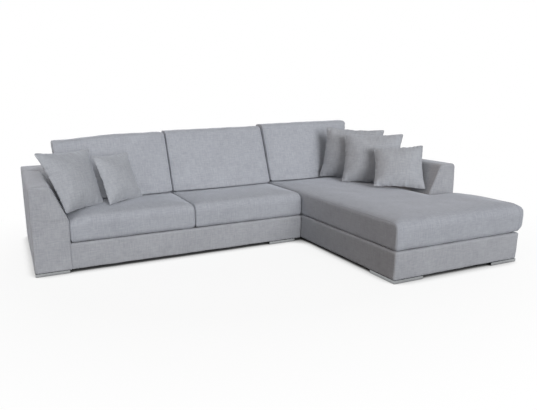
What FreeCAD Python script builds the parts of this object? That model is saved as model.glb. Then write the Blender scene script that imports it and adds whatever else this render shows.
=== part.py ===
"""Corner sofa of two sections: a two-seat section with an arm, and a chaise with an arm.

All lengths are in millimetres. The plan is measured from the left outer face (x), from
the front of the two-seat section (y, to the back) and from the floor (z). The origin of
the model is the middle of the footprint, on the floor.
"""
import FreeCAD, Part
import Sketcher
import math
import os
import re

# Driving sizes
SIZES = {
    "overall_width": 3200,
    "section_depth": 1150,
    "chaise_width": 1080,
    "chaise_reach": 1090,
    "arm_reach": 505,
    "arm_height": 630,
    "arm_top_width": 142,
    "arm_base_width": 256,
    "seat_height": 392,
    "base_height": 212,
    "floor_gap": 22,
    "back_top_depth": 280,
    "back_base_depth": 365,
    "corner_round": 28,
    "edge_round": 9,
    "padding": 20,
    "lining": 6,
    "joint_gap": 6,
    "fit_clearance": 1,
    "rail_thickness": 28,
    "rear_seat_rail_width": 45,
    "rear_seat_rail_lead": 8,
    "sag_room": 35,
    "deck_thickness": 5,
    "webbing_thickness": 2,
    "webbing_width": 70,
    "webbing_pitch": 112,
    "board_thickness": 18,
    "block_side": 60,
    "block_height": 90,
    "dust_cover_thickness": 2,
    "foot_leg": 234,
    "foot_plate_width": 50,
    "foot_wall": 3,
    "foot_lip_width": 24,
    "foot_inset": 2,
    "foot_joint_inset": 59,
    "glide_height": 2,
    "glide_radius": 10,
    "screw_radius": 2.5,
    "screw_head_radius": 5,
    "screw_head_height": 2,
    "screw_length": 38,
    "screw_from_corner": 60,
    "screw_spacing": 140,
    "peg_radius": 7,
    "peg_height": 22,
    "peg_play": 0.5,
    "peg_plate_thickness": 3,
    "peg_plate_width": 60,
    "peg_plate_drop": 1,
    "peg_from_front": 300,
    "peg_spacing": 480,
    "bush_wall": 2,
    "bush_length": 40,
    "cushion_gap": 2,
    "seat_cushion_crown": 30,
    "chaise_cushion_crown": 40,
    "seat_edge_drop": 6,
    "core_margin": 14,
    "core_play": 0.5,
    "back_cushion_rest": 14,
    "back_cushion_height": 488,
    "back_cushion_base": 216,
    "back_cushion_top": 160,
    "back_cushion_bulge": 34,
    "back_cushion_play": 9,
    "corner_cushion_lean": 100,
    "chaise_rest_rise": 10,
    "large_pillow_side": 475,
    "large_pillow_thickness": 160,
    "small_pillow_side": 395,
    "small_pillow_thickness": 136,
    "pillow_edge": 10,
    "pillow_draw": 15,
    "pillow_clearance": 1.5,
}

ALIASES = sorted(SIZES, key=len, reverse=True)
ALIAS_PATTERN = re.compile(r"\b(" + "|".join(ALIASES) + r")\b")

# Lines of the plan and of the section, as formulas of the driving sizes
CHAISE_LEFT = "(overall_width - chaise_width)"
JOINT_FACE = "(overall_width - chaise_width - joint_gap)"
ARM_INNER_RIGHT = "(overall_width - arm_base_width)"
CHAISE_FRONT = "(-chaise_reach)"
ARM_FRONT_RIGHT = "(-arm_reach)"
BACK_FRONT = "(section_depth - back_base_depth)"
UNDER_BACK = "(section_depth - back_base_depth + padding)"
REAR_INSIDE = "(section_depth - padding)"
RAIL_TOP = "(base_height - deck_thickness - webbing_thickness)"
DECK_BOTTOM = "(base_height - deck_thickness)"
CENTRE_X = "(-overall_width / 2)"
CENTRE_Y = "((chaise_reach - section_depth) / 2)"
REAR_SEAT_RAIL = "(section_depth - back_base_depth - rear_seat_rail_lead)"
FOOT_TOP = "floor_gap"
SCREW_LINE = "(padding + rail_thickness / 2)"

os.makedirs("parts", exist_ok=True)
doc = FreeCAD.newDocument("corner_sofa")
sheet = doc.addObject("Spreadsheet::Sheet", "Sizes")
for row, (alias, amount) in enumerate(SIZES.items(), start=1):
    sheet.set("A%d" % row, alias.replace("_", " "))
    sheet.set("B%d" % row, str(amount))
    sheet.setAlias("B%d" % row, alias)
doc.recompute()

nodes = []


def size(alias):
    """Read one driving size back from the sheet, as a number."""
    return float(sheet.get(alias))


def bound(formula):
    """Turn a formula of aliases into one that reads the sheet."""
    return ALIAS_PATTERN.sub(r"Sizes.\1", formula)


def bind(item, **formulas):
    """Bind properties of an object to formulas of the sheet."""
    for name, formula in formulas.items():
        item.setExpression(name, bound(formula))


def set_base(item, x="0", y="0", z="0"):
    """Put a piece of a node at a place of the plan."""
    for axis, formula in (("x", x), ("y", y), ("z", z)):
        item.setExpression("Placement.Base." + axis, bound(formula))


def add_node(item, label, x="0", y="0", z="0"):
    """Name a finished piece and move it from the plan to the model's origin."""
    item.Label = label
    set_base(item, "%s + %s" % (x, CENTRE_X), "%s + %s" % (y, CENTRE_Y), z)
    nodes.append(item)
    return item


def add_feature_node(shape, label, placement=None):
    """Name a piece whose shape is made point by point, and place it."""
    feature = doc.addObject("Part::Feature", label)
    feature.Label = label
    feature.Shape = shape
    centre = FreeCAD.Vector(
        -size("overall_width") / 2, (size("chaise_reach") - size("section_depth")) / 2, 0
    )
    place = FreeCAD.Placement(centre, FreeCAD.Rotation())
    feature.Placement = place.multiply(placement) if placement else place
    nodes.append(feature)
    return feature


def make_box(name, x, y, z):
    """Make a box between two formulas along each axis."""
    box = doc.addObject("Part::Box", name)
    bind(
        box,
        Length="%s - %s" % (x[1], x[0]),
        Width="%s - %s" % (y[1], y[0]),
        Height="%s - %s" % (z[1], z[0]),
    )
    set_base(box, x[0], y[0], z[0])
    return box


def make_rod(name, radius, length, x, y, z):
    """Make an upright round rod from formulas."""
    rod = doc.addObject("Part::Cylinder", name)
    bind(rod, Radius=radius, Height=length)
    set_base(rod, x, y, z)
    return rod


def group(name, items):
    """Keep several solids together in one node."""
    compound = doc.addObject("Part::Compound", name)
    compound.Links = items
    return compound


def origin_plane(body, role):
    """Find a body's own origin plane."""
    for feature in body.Origin.OriginFeatures:
        if feature.Role == role:
            return feature
    raise ValueError("no origin plane " + role)


class Solid:
    """A body that is built up from upright or lying profiles."""

    PLANES = {"XY": ("XY_Plane", 1), "XZ": ("XZ_Plane", -1), "YZ": ("YZ_Plane", 1)}

    def __init__(self, name):
        self.body = doc.addObject("PartDesign::Body", name)
        self.name = name
        self.steps = 0

    def sketch(self, plane, start):
        """Start a sketch on an origin plane moved to a formula along its axis."""
        role, sign = self.PLANES[plane]
        self.steps += 1
        sketch = self.body.newObject("Sketcher::SketchObject", "%s_sketch_%d" % (self.name, self.steps))
        sketch.AttachmentSupport = [(origin_plane(self.body, role), "")]
        sketch.MapMode = "FlatFace"
        offset = start if sign > 0 else "-(%s)" % start
        bind(sketch, **{"AttachmentOffset.Base.z": offset})
        return sketch

    def outline(self, plane, start, corners):
        """Draw a closed outline whose corners are pairs of formulas."""
        sketch = self.sketch(plane, start)
        count = len(corners)
        turn = [2 * math.pi * index / count for index in range(count)]
        rough = [FreeCAD.Vector(math.cos(a), math.sin(a), 0) * 100 for a in turn]
        for index in range(count):
            sketch.addGeometry(Part.LineSegment(rough[index], rough[(index + 1) % count]), False)
        for index in range(count):
            sketch.addConstraint(Sketcher.Constraint("Coincident", index, 2, (index + 1) % count, 1))
        for index, pair in enumerate(corners):
            for kind, formula in zip(("DistanceX", "DistanceY"), pair):
                number = sketch.addConstraint(Sketcher.Constraint(kind, -1, 1, index, 1, 1.0))
                bind(sketch, **{"Constraints[%d]" % number: formula})
        return sketch

    def circles(self, plane, start, centres, radius):
        """Draw circles at pairs of formulas."""
        sketch = self.sketch(plane, start)
        for index, pair in enumerate(centres):
            spot = FreeCAD.Vector(50.0 * index + 10, 10, 0)
            sketch.addGeometry(Part.Circle(spot, FreeCAD.Vector(0, 0, 1), 1.0), False)
            for kind, formula in zip(("DistanceX", "DistanceY"), pair):
                number = sketch.addConstraint(Sketcher.Constraint(kind, -1, 1, index, 3, 1.0))
                bind(sketch, **{"Constraints[%d]" % number: formula})
            number = sketch.addConstraint(Sketcher.Constraint("Radius", index, 1.0))
            bind(sketch, **{"Constraints[%d]" % number: radius})
        return sketch

    def pad(self, sketch, plane, length):
        """Raise a sketch along the plan's positive direction."""
        pad = self.body.newObject("PartDesign::Pad", "%s_pad_%d" % (self.name, self.steps))
        pad.Profile = sketch
        bind(pad, Length=length)
        pad.Reversed = self.PLANES[plane][1] < 0
        sketch.Visibility = False
        return pad

    def add(self, plane, start, end, corners):
        """Add a straight prism between two formulas."""
        sketch = self.outline(plane, start, corners)
        return self.pad(sketch, plane, "%s - (%s)" % (end, start))

    def cut(self, plane, start, end, sketch_or_corners):
        """Cut a straight prism away, and check that it took something off."""
        sketch = sketch_or_corners
        if isinstance(sketch_or_corners, list):
            sketch = self.outline(plane, start, sketch_or_corners)
        doc.recompute()
        before = self.body.Shape.Volume
        pocket = self.body.newObject("PartDesign::Pocket", "%s_cut_%d" % (self.name, self.steps))
        pocket.Profile = sketch
        bind(pocket, Length="%s - (%s)" % (end, start))
        pocket.Reversed = self.PLANES[plane][1] > 0
        sketch.Visibility = False
        doc.recompute()
        if not self.body.Shape.Volume < before:
            raise ValueError("nothing was cut from " + self.name)
        return pocket

    def round(self, radius, lines):
        """Round the straight edges that run along one axis through given places.

        Each line is (axis, {other axis: number, ...}).
        """
        doc.recompute()
        base = self.body.Tip
        names = []
        for index, edge in enumerate(base.Shape.Edges, start=1):
            if any(runs_along(edge, axis, places) for axis, places in lines):
                names.append("Edge%d" % index)
        if not names:
            raise ValueError("no edge to round on " + self.name)
        fillet = self.body.newObject("PartDesign::Fillet", "%s_round_%s" % (self.name, radius))
        fillet.Base = (base, names)
        bind(fillet, Radius=radius)
        return fillet


def runs_along(edge, axis, places):
    """Tell whether a straight edge runs along an axis through the given places."""
    if not isinstance(edge.Curve, Part.Line):
        return False
    if abs(getattr(edge.Curve.Direction, axis)) < 0.999:
        return False
    point = edge.Vertexes[0].Point
    return all(abs(getattr(point, name) - number) < 0.01 for name, number in places.items())


def arm_width_at(height):
    """The arm's width at a height above the seat line, as a formula."""
    slope = "(arm_base_width - arm_top_width) / (arm_height - seat_height)"
    return "(arm_top_width + %s * (arm_height - (%s)))" % (slope, height)


def back_depth_at(height):
    """The back's depth at a height above the seat line, as a formula."""
    slope = "(back_base_depth - back_top_depth) / (arm_height - seat_height)"
    return "(back_top_depth + %s * (arm_height - (%s)))" % (slope, height)


def wedge(width_at, low, top, inset, face):
    """Corners of the wedge section of an arm or a back, inset from its outside.

    face turns a distance in from the outer face into a coordinate.
    """
    return [
        (face(inset), low),
        (face(inset), top),
        (face("%s - (%s)" % (width_at(top), inset)), top),
        (face("%s - (%s)" % (width_at("seat_height"), inset)), "seat_height"),
        (face("%s - (%s)" % (width_at("seat_height"), inset)), low),
    ]


def wedge_wall(width_at, face):
    """Corners of the padded wall round a wedge: its inner side stands on the deck."""
    outer = wedge(width_at, "base_height", "arm_height", "0", face)
    inner = wedge(width_at, "base_height", "(arm_height - padding)", "padding", face)
    outer[0] = (face("0"), "floor_gap")
    inner[0] = (face("padding"), "floor_gap")
    return outer + inner[::-1]


def from_left(distance):
    """A distance in from the left outer face, as a coordinate."""
    return "(%s)" % distance


def from_right(distance):
    """A distance in from the right outer face, as a coordinate."""
    return "(overall_width - (%s))" % distance


def from_rear(distance):
    """A distance in from the rear face, as a coordinate."""
    return "(section_depth - (%s))" % distance


def make_arm_cover(label, face, front, cap_low):
    """The padded cover of an arm: outer side, top, inner side and front."""
    cover = Solid(label)
    cover.add("XZ", front, "section_depth", wedge_wall(arm_width_at, face))
    cap = wedge(arm_width_at, cap_low, "arm_height", "0", face)
    cover.add("XZ", front, "(%s + padding)" % front, cap)
    beyond = "(section_depth + padding)"
    behind_the_back = [
        (beyond, "0"),
        (beyond, "(arm_height + padding)"),
        (from_rear("back_top_depth"), "(arm_height + padding)"),
        (from_rear("back_top_depth"), "arm_height"),
        (BACK_FRONT, "seat_height"),
        (BACK_FRONT, "0"),
    ]
    cover.cut("YZ", "(-padding)", "(overall_width + padding)", behind_the_back)
    outer = size("overall_width") if face is from_right else 0.0
    start = -size("arm_reach") if face is from_right else 0.0
    cover.round("corner_round", [("y", {"x": outer, "z": size("arm_height")})])
    cover.round("edge_round", [("z", {"x": outer, "y": start})])
    add_node(cover.body, label)


def make_back_cover(label, left, right, outer_left):
    """The padded cover of a back: rear, top, sloped front and both ends."""
    cover = Solid(label)
    cover.add("YZ", left, right, wedge_wall(back_depth_at, from_rear))
    thin, thick = "lining", "padding"
    low_left, low_right = ("floor_gap", "base_height") if outer_left else ("base_height", "floor_gap")
    wall_left, wall_right = (thick, thin) if outer_left else (thin, thick)
    end = wedge(back_depth_at, low_left, "arm_height", "0", from_rear)
    cover.add("YZ", left, "(%s + %s)" % (left, wall_left), end)
    end = wedge(back_depth_at, low_right, "arm_height", "0", from_rear)
    cover.add("YZ", "(%s - %s)" % (right, wall_right), right, end)
    outer = 0.0 if outer_left else size("overall_width")
    rear, top = size("section_depth"), size("arm_height")
    cover.round("corner_round", [("x", {"y": rear, "z": top}), ("y", {"x": outer, "z": top})])
    add_node(cover.body, label)


def make_arm_frame(label, face, front):
    """Three wedge boards and a top board that carry an arm's cover."""
    top = "(arm_height - padding - fit_clearance - board_thickness)"
    first = "(%s + padding + fit_clearance)" % front
    last = "(%s - board_thickness - fit_clearance)" % BACK_FRONT
    pieces = []
    for index in range(3):
        start = "(%s + (%s - %s) * %d / 2)" % (first, last, first, index)
        board = Solid("%s_board_%d" % (label, index + 1))
        corners = wedge(arm_width_at, RAIL_TOP, top, "(padding + fit_clearance)", face)
        board.add("XZ", start, "(%s + board_thickness)" % start, corners)
        pieces.append(board.body)
    sides = [
        face("padding + fit_clearance"),
        face("%s - padding - fit_clearance" % arm_width_at("arm_height - padding - fit_clearance")),
    ]
    if face is from_right:
        sides.reverse()
    run = (first, "(%s + board_thickness)" % last)
    pieces.append(make_box(label + "_top", sides, run, (top, "(%s + board_thickness)" % top)))
    add_node(group(label, pieces), label)


def make_back_frame(label, left, right):
    """Three wedge boards and a top board that carry a back's cover."""
    top = "(arm_height - padding - fit_clearance - board_thickness)"
    first = "(%s + padding + fit_clearance)" % left
    last = "(%s - padding - fit_clearance - board_thickness)" % right
    pieces = []
    for index in range(3):
        start = "(%s + (%s - %s) * %d / 2)" % (first, last, first, index)
        board = Solid("%s_board_%d" % (label, index + 1))
        corners = wedge(back_depth_at, RAIL_TOP, top, "(padding + fit_clearance)", from_rear)
        board.add("YZ", start, "(%s + board_thickness)" % start, corners)
        pieces.append(board.body)
    lid = "arm_height - padding - fit_clearance"
    depth = (
        from_rear("%s - padding - fit_clearance" % back_depth_at(lid)),
        from_rear("padding + fit_clearance"),
    )
    run = (first, "(%s + board_thickness)" % last)
    pieces.append(make_box(label + "_top", run, depth, (top, "(%s + board_thickness)" % top)))
    add_node(group(label, pieces), label)


def screw_spots(corner_x, step_x, corner_y, step_y):
    """The two screws of a foot, along the rail that it is fixed to."""
    spots = []
    for index in range(2):
        along = "(screw_from_corner + screw_spacing * %d)" % index
        across = "(%s + (%s) * (%s - foot_inset))" % (corner_y, step_y, SCREW_LINE)
        spots.append(("(%s + (%s) * %s)" % (corner_x, step_x, along), across))
    return spots


def make_foot(label, corner_x, step_x, corner_y, step_y):
    """An angle foot: a top plate, an upright wall and a lip, turned into its corner."""
    foot = Solid(label)

    def angle(width):
        """Corners of an L of a given width, in plan."""
        spots = [
            ("0", "0"),
            ("foot_leg", "0"),
            ("foot_leg", width),
            (width, width),
            (width, "foot_leg"),
            ("0", "foot_leg"),
        ]
        place_x = "(%s + (%s) * %s)"
        return [(place_x % (corner_x, step_x, a), place_x % (corner_y, step_y, b)) for a, b in spots]

    foot.add("XY", "glide_height", FOOT_TOP, angle("foot_wall"))
    foot.add("XY", "glide_height", "(glide_height + foot_wall)", angle("foot_lip_width"))
    foot.add("XY", "(floor_gap - foot_wall)", FOOT_TOP, angle("foot_plate_width"))
    spots = screw_spots(corner_x, step_x, corner_y, step_y)
    low = "(floor_gap - foot_wall)"
    foot.cut("XY", low, FOOT_TOP, foot.circles("XY", low, spots, "screw_radius"))
    add_node(foot.body, label)


def foot_pads(name, corner_x, step_x, corner_y, step_y):
    """Three glide pads under a foot: one in its corner and one at each end."""
    near = "(foot_lip_width / 2)"
    far = "(foot_leg - foot_lip_width / 2)"
    pads = []
    for index, (a, b) in enumerate(((near, near), (far, near), (near, far)), start=1):
        x = "(%s + (%s) * %s)" % (corner_x, step_x, a)
        y = "(%s + (%s) * %s)" % (corner_y, step_y, b)
        pads.append(make_rod("%s_pad_%d" % (name, index), "glide_radius", "glide_height", x, y, "0"))
    return pads


def foot_screws(name, corner_x, step_x, corner_y, step_y):
    """The screws of one foot, each a head and a shank."""
    screws = []
    spots = screw_spots(corner_x, step_x, corner_y, step_y)
    for index, (x, y) in enumerate(spots, start=1):
        low = "(floor_gap - foot_wall)"
        shank = make_rod("%s_shank_%d" % (name, index), "screw_radius", "screw_length", x, y, low)
        under = "(%s - screw_head_height)" % low
        head = make_rod("%s_head_%d" % (name, index), "screw_head_radius", "screw_head_height", x, y, under)
        screw = doc.addObject("Part::Fuse", "%s_screw_%d" % (name, index))
        screw.Base = shank
        screw.Tool = head
        screws.append(screw)
    return screws


def make_drilled_rail(label, x, y, z, feet, bores=()):
    """A rail with a pilot hole for each foot screw, and any other bores."""
    rail = make_box(label + "_timber", x, y, z)
    drills = []
    for index, foot in enumerate(feet, start=1):
        for number, (spot_x, spot_y) in enumerate(screw_spots(*foot), start=1):
            name = "%s_drill_%d_%d" % (label, index, number)
            low = "(floor_gap - foot_wall)"
            drills.append(make_rod(name, "screw_radius", "screw_length", spot_x, spot_y, low))
    for index, bore in enumerate(bores, start=1):
        drills.append(make_rod("%s_bore_%d" % (label, index), *bore))
    drilled = doc.addObject("Part::Cut", label)
    drilled.Base = rail
    drilled.Tool = group(label + "_drills", drills)
    add_node(drilled, label)


def make_rail(label, x, y, z):
    """A plain timber rail."""
    rail = make_box(label, x, y, z)
    add_node(rail, label, x[0], y[0], z[0])


def make_webbing(label, runs):
    """Webbing strips from front to back, each run (first x, front, rear, how many)."""
    strips = []
    for number, (first, front, rear, count) in enumerate(runs, start=1):
        for index in range(count):
            x = "(%s + webbing_pitch * %d)" % (first, index)
            span = (x, "(%s + webbing_width)" % x)
            height = (RAIL_TOP, DECK_BOTTOM)
            strips.append(make_box("%s_%d_%d" % (label, number, index + 1), span, (front, rear), height))
    add_node(group(label, strips), label)


def strip_count(room):
    """How many webbing strips fit side by side in a width."""
    return max(1, int((room - size("webbing_width")) // size("webbing_pitch")) + 1)


def make_blocks(label, left, right, front, rear):
    """Four glued blocks in the corners of a base frame."""
    blocks = []
    for index, (x, y) in enumerate(((left, front), (right, front), (left, rear), (right, rear)), start=1):
        span_x = (x, "(%s + block_side)" % x) if x == left else ("(%s - block_side)" % x, x)
        span_y = (y, "(%s + block_side)" % y) if y == front else ("(%s - block_side)" % y, y)
        height = ("floor_gap", "(floor_gap + block_height)")
        blocks.append(make_box("%s_%d" % (label, index), span_x, span_y, height))
    add_node(group(label, blocks), label)


def make_dust_cover(label, left, right, front, rear):
    """The thin black cloth under a base frame, notched round the corner blocks."""
    cloth = Solid(label)
    near_x, far_x = "(%s + block_side)" % left, "(%s - block_side)" % right
    near_y, far_y = "(%s + block_side)" % front, "(%s - block_side)" % rear
    corners = [
        (near_x, front), (far_x, front), (far_x, near_y), (right, near_y),
        (right, far_y), (far_x, far_y), (far_x, rear), (near_x, rear),
        (near_x, far_y), (left, far_y), (left, near_y), (near_x, near_y),
    ]
    cloth.add("XY", "floor_gap", "(floor_gap + dust_cover_thickness)", corners)
    add_node(cloth.body, label)


# Feet: corner and direction of each leg, in plan
LEFT_FEET = {
    "left_front_foot": ("foot_inset", "1", "foot_inset", "1"),
    "left_rear_foot": ("foot_inset", "1", "(section_depth - foot_inset)", "-1"),
    "joint_front_foot": ("(%s - foot_joint_inset)" % JOINT_FACE, "-1", "foot_inset", "1"),
    "joint_rear_foot": (
        "(%s - foot_joint_inset)" % JOINT_FACE, "-1", "(section_depth - foot_inset)", "-1",
    ),
}
CHAISE_FEET = {
    "chaise_front_left_foot": (
        "(%s + foot_inset)" % CHAISE_LEFT, "1", "(%s + foot_inset)" % CHAISE_FRONT, "1",
    ),
    "chaise_front_right_foot": (
        "(overall_width - foot_inset)", "-1", "(%s + foot_inset)" % CHAISE_FRONT, "1",
    ),
    "chaise_rear_left_foot": (
        "(%s + foot_joint_inset)" % CHAISE_LEFT, "1", "(section_depth - foot_inset)", "-1",
    ),
    "chaise_rear_right_foot": (
        "(overall_width - foot_inset)", "-1", "(section_depth - foot_inset)", "-1",
    ),
}


def make_feet(side, feet):
    """The feet of one section with their glide pads and screws."""
    pads, screws = [], []
    for label, foot in feet.items():
        make_foot(label, *foot)
        pads += foot_pads(label, *foot)
        screws += foot_screws(label, *foot)
    add_node(group(side + "_glide_pads", pads), side + "_glide_pads")
    add_node(group(side + "_foot_screws", screws), side + "_foot_screws")


def make_base_frame(side, left, right, front, feet, bores=()):
    """Rails, corner blocks and dust cover of one section.

    left, right and front are the inner faces of the base covers.
    """
    low, high = "floor_gap", RAIL_TOP
    inner_left = "(%s + rail_thickness)" % left
    inner_right = "(%s - rail_thickness)" % right
    inner_front = "(%s + rail_thickness)" % front
    inner_rear = "(%s - rail_thickness)" % REAR_INSIDE
    front_feet = [foot for foot in feet.values() if foot[3] == "1"]
    rear_feet = [foot for foot in feet.values() if foot[3] == "-1"]
    height = (low, high)
    make_drilled_rail(side + "_front_rail", (left, right), (front, inner_front), height, front_feet)
    make_drilled_rail(side + "_rear_rail", (left, right), (inner_rear, REAR_INSIDE), height, rear_feet)
    run = (inner_front, inner_rear)
    if bores:
        make_drilled_rail(side + "_joint_rail", (left, inner_left), run, height, [], bores)
        make_rail(side + "_arm_rail", (inner_right, right), run, height)
    else:
        make_rail(side + "_arm_rail", (left, inner_left), run, height)
        make_rail(side + "_joint_rail", (inner_right, right), run, height)
    above_cloth = "(floor_gap + dust_cover_thickness)"
    seat_rail_end = "(%s + rear_seat_rail_width)" % REAR_SEAT_RAIL
    make_rail(
        side + "_rear_seat_rail", (inner_left, inner_right), (REAR_SEAT_RAIL, seat_rail_end),
        (above_cloth, high),
    )
    make_blocks(side + "_corner_blocks", inner_left, inner_right, inner_front, inner_rear)
    make_dust_cover(side + "_dust_cover", inner_left, inner_right, inner_front, inner_rear)


def make_left_section():
    """The two-seat section with the left arm."""
    inner_right = "(%s - lining)" % JOINT_FACE
    make_base_frame("left", "padding", inner_right, "padding", LEFT_FEET)
    middle = "((arm_base_width + %s) / 2)" % JOINT_FACE
    above_cloth = "(floor_gap + dust_cover_thickness)"
    make_rail(
        "left_centre_rail",
        ("(%s - rail_thickness / 2)" % middle, "(%s + rail_thickness / 2)" % middle),
        ("(padding + rail_thickness)", REAR_SEAT_RAIL),
        (above_cloth, "(%s - sag_room)" % RAIL_TOP),
    )
    first = "(arm_base_width + fit_clearance)"
    width = size("overall_width") - size("chaise_width") - size("joint_gap") - size("lining")
    count = strip_count(width - size("arm_base_width") - size("fit_clearance"))
    make_webbing("left_webbing", [(first, "padding", UNDER_BACK, count)])
    deck = Solid("left_deck")
    under_arm = "(arm_base_width - padding)"
    corners = [
        (under_arm, "padding"),
        (inner_right, "padding"),
        (inner_right, UNDER_BACK),
        (under_arm, UNDER_BACK),
    ]
    deck.add("XY", DECK_BOTTOM, "base_height", corners)
    add_node(deck.body, "left_deck")
    cover = Solid("left_base_cover")
    corners = [
        ("arm_base_width", "0"),
        (JOINT_FACE, "0"),
        (JOINT_FACE, REAR_INSIDE),
        (inner_right, REAR_INSIDE),
        (inner_right, "padding"),
        ("arm_base_width", "padding"),
    ]
    cover.add("XY", "floor_gap", "base_height", corners)
    cover.round("edge_round", [("x", {"y": 0.0, "z": size("base_height")})])
    add_node(cover.body, "left_base_cover")
    make_arm_frame("left_arm_frame", from_left, "0")
    make_arm_cover("left_arm_cover", from_left, "0", "floor_gap")
    make_back_frame("left_back_frame", "0", JOINT_FACE)
    make_back_cover("left_back_cover", "0", JOINT_FACE, True)
    make_feet("left", LEFT_FEET)


def make_chaise_section():
    """The chaise section with the right arm."""
    left = "(%s + padding)" % CHAISE_LEFT
    right = "(overall_width - padding)"
    front = "(%s + padding)" % CHAISE_FRONT
    bores = []
    for x, y in peg_spots():
        bores.append(("(peg_radius + peg_play + bush_wall)", "bush_length", x, y, "floor_gap"))
    make_base_frame("chaise", left, right, front, CHAISE_FEET, bores)
    above_cloth = "(floor_gap + dust_cover_thickness)"
    make_rail(
        "chaise_cross_rail",
        ("(%s + rail_thickness)" % left, "(%s - rail_thickness)" % right),
        (ARM_FRONT_RIGHT, "(%s + rail_thickness)" % ARM_FRONT_RIGHT),
        (above_cloth, RAIL_TOP),
    )
    first = "(%s + fit_clearance)" % left
    beside_arm = size("chaise_width") - size("arm_base_width") - size("padding")
    short_first = "(%s + fit_clearance)" % ARM_INNER_RIGHT
    before_arm = size("arm_base_width") - size("padding")
    play = size("fit_clearance")
    under_arm_front = "(%s + padding)" % ARM_FRONT_RIGHT
    runs = [
        (first, front, UNDER_BACK, strip_count(beside_arm - play)),
        (short_first, front, under_arm_front, strip_count(before_arm - play)),
    ]
    make_webbing("chaise_webbing", runs)
    deck = Solid("chaise_deck")
    under_arm = "(%s + padding)" % ARM_INNER_RIGHT
    corners = [
        (left, front),
        (right, front),
        (right, under_arm_front),
        (under_arm, under_arm_front),
        (under_arm, UNDER_BACK),
        (left, UNDER_BACK),
    ]
    deck.add("XY", DECK_BOTTOM, "base_height", corners)
    add_node(deck.body, "chaise_deck")
    cover = Solid("chaise_base_cover")
    corners = [
        (CHAISE_LEFT, CHAISE_FRONT),
        ("overall_width", CHAISE_FRONT),
        ("overall_width", ARM_FRONT_RIGHT),
        (right, ARM_FRONT_RIGHT),
        (right, front),
        (left, front),
        (left, REAR_INSIDE),
        (CHAISE_LEFT, REAR_INSIDE),
    ]
    cover.add("XY", "floor_gap", "base_height", corners)
    edge_front, edge_left, edge_right = (
        -size("chaise_reach"), size("overall_width") - size("chaise_width"), size("overall_width"),
    )
    top = size("base_height")
    cover.round("edge_round", [
        ("z", {"x": edge_left, "y": edge_front}),
        ("z", {"x": edge_right, "y": edge_front}),
        ("x", {"y": edge_front, "z": top}),
        ("y", {"x": edge_left, "z": top}),
        ("y", {"x": edge_right, "z": top}),
    ])
    add_node(cover.body, "chaise_base_cover")
    make_arm_frame("chaise_arm_frame", from_right, ARM_FRONT_RIGHT)
    make_arm_cover("chaise_arm_cover", from_right, ARM_FRONT_RIGHT, "base_height")
    make_back_frame("chaise_back_frame", CHAISE_LEFT, "overall_width")
    make_back_cover("chaise_back_cover", CHAISE_LEFT, "overall_width", False)
    make_feet("chaise", CHAISE_FEET)


def peg_spots():
    """Where the two pegs stand that line the sections up."""
    x = "(%s + padding + rail_thickness / 2)" % CHAISE_LEFT
    return [(x, "(peg_from_front + peg_spacing * %d)" % index) for index in range(2)]


def make_joint():
    """Peg plates under the two-seat section, and the bushes that drop over the pegs."""
    plates, bushes = [], []
    for index, (x, y) in enumerate(peg_spots(), start=1):
        span_y = ("(%s - peg_plate_width / 2)" % y, "(%s + peg_plate_width / 2)" % y)
        start = "(%s - lining - rail_thickness)" % JOINT_FACE
        top = "(floor_gap - peg_plate_drop)"
        low = "(%s - peg_plate_thickness)" % top
        end = "(%s + peg_plate_width / 2)" % x
        strip = make_box("peg_strip_%d" % index, (start, end), span_y, (low, top))
        seat = make_box(
            "peg_seat_%d" % index, (start, "(%s - lining)" % JOINT_FACE), span_y, (top, "floor_gap"),
        )
        peg = make_rod(
            "peg_%d" % index, "peg_radius", "(peg_height + peg_plate_drop)", x, y, top,
        )
        plate = doc.addObject("Part::MultiFuse", "peg_plate_%d" % index)
        plate.Shapes = [strip, seat, peg]
        plates.append(plate)
        outside = "(peg_radius + peg_play + bush_wall)"
        shell = make_rod("bush_outside_%d" % index, outside, "bush_length", x, y, "floor_gap")
        bore = make_rod("bush_inside_%d" % index, "(peg_radius + peg_play)", "bush_length", x, y, "floor_gap")
        bush = doc.addObject("Part::Cut", "bush_%d" % index)
        bush.Base = shell
        bush.Tool = bore
        bushes.append(bush)
    add_node(group("joint_peg_plates", plates), "joint_peg_plates")
    add_node(group("joint_bushes", bushes), "joint_bushes")


# Soft pieces: where the sections of a cushion stand, as shares of its length from one end
END_SHARES = (0.0, 0.012, 0.04, 0.1, 0.22, 0.36)
SECTION_SHARES = END_SHARES + (0.5,) + tuple(1 - share for share in END_SHARES[::-1])


def fullness(share):
    """How full a cushion is at a share of its length: none at its ends, all in the middle."""
    return math.sqrt(1 - abs(1 - 2 * share) ** 6)


def side(start, end, push):
    """One side of a section: a line, or an arc pushed out at its middle."""
    if push.Length < 0.01:
        return Part.LineSegment(start, end).toShape()
    middle = (start + end) * 0.5 + push
    return Part.Arc(start, middle, end).toShape()


def closed_section(corners, pushes):
    """A closed wire through corners, each side with its own push."""
    count = len(corners)
    edges = [side(corners[i], corners[(i + 1) % count], pushes[i]) for i in range(count)]
    return Part.Wire(edges)


def loft(wires):
    """A closed solid with straight runs from wire to wire."""
    return Part.makeLoft(wires, True, True)


def rest_height():
    """The height of the flat rear of a seat cushion, which the back cushions stand on."""
    return size("seat_height") + size("back_cushion_rest") / 2


def edge_height():
    """The height of a seat cushion's top edges."""
    return size("seat_height") - size("seat_edge_drop")


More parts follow.
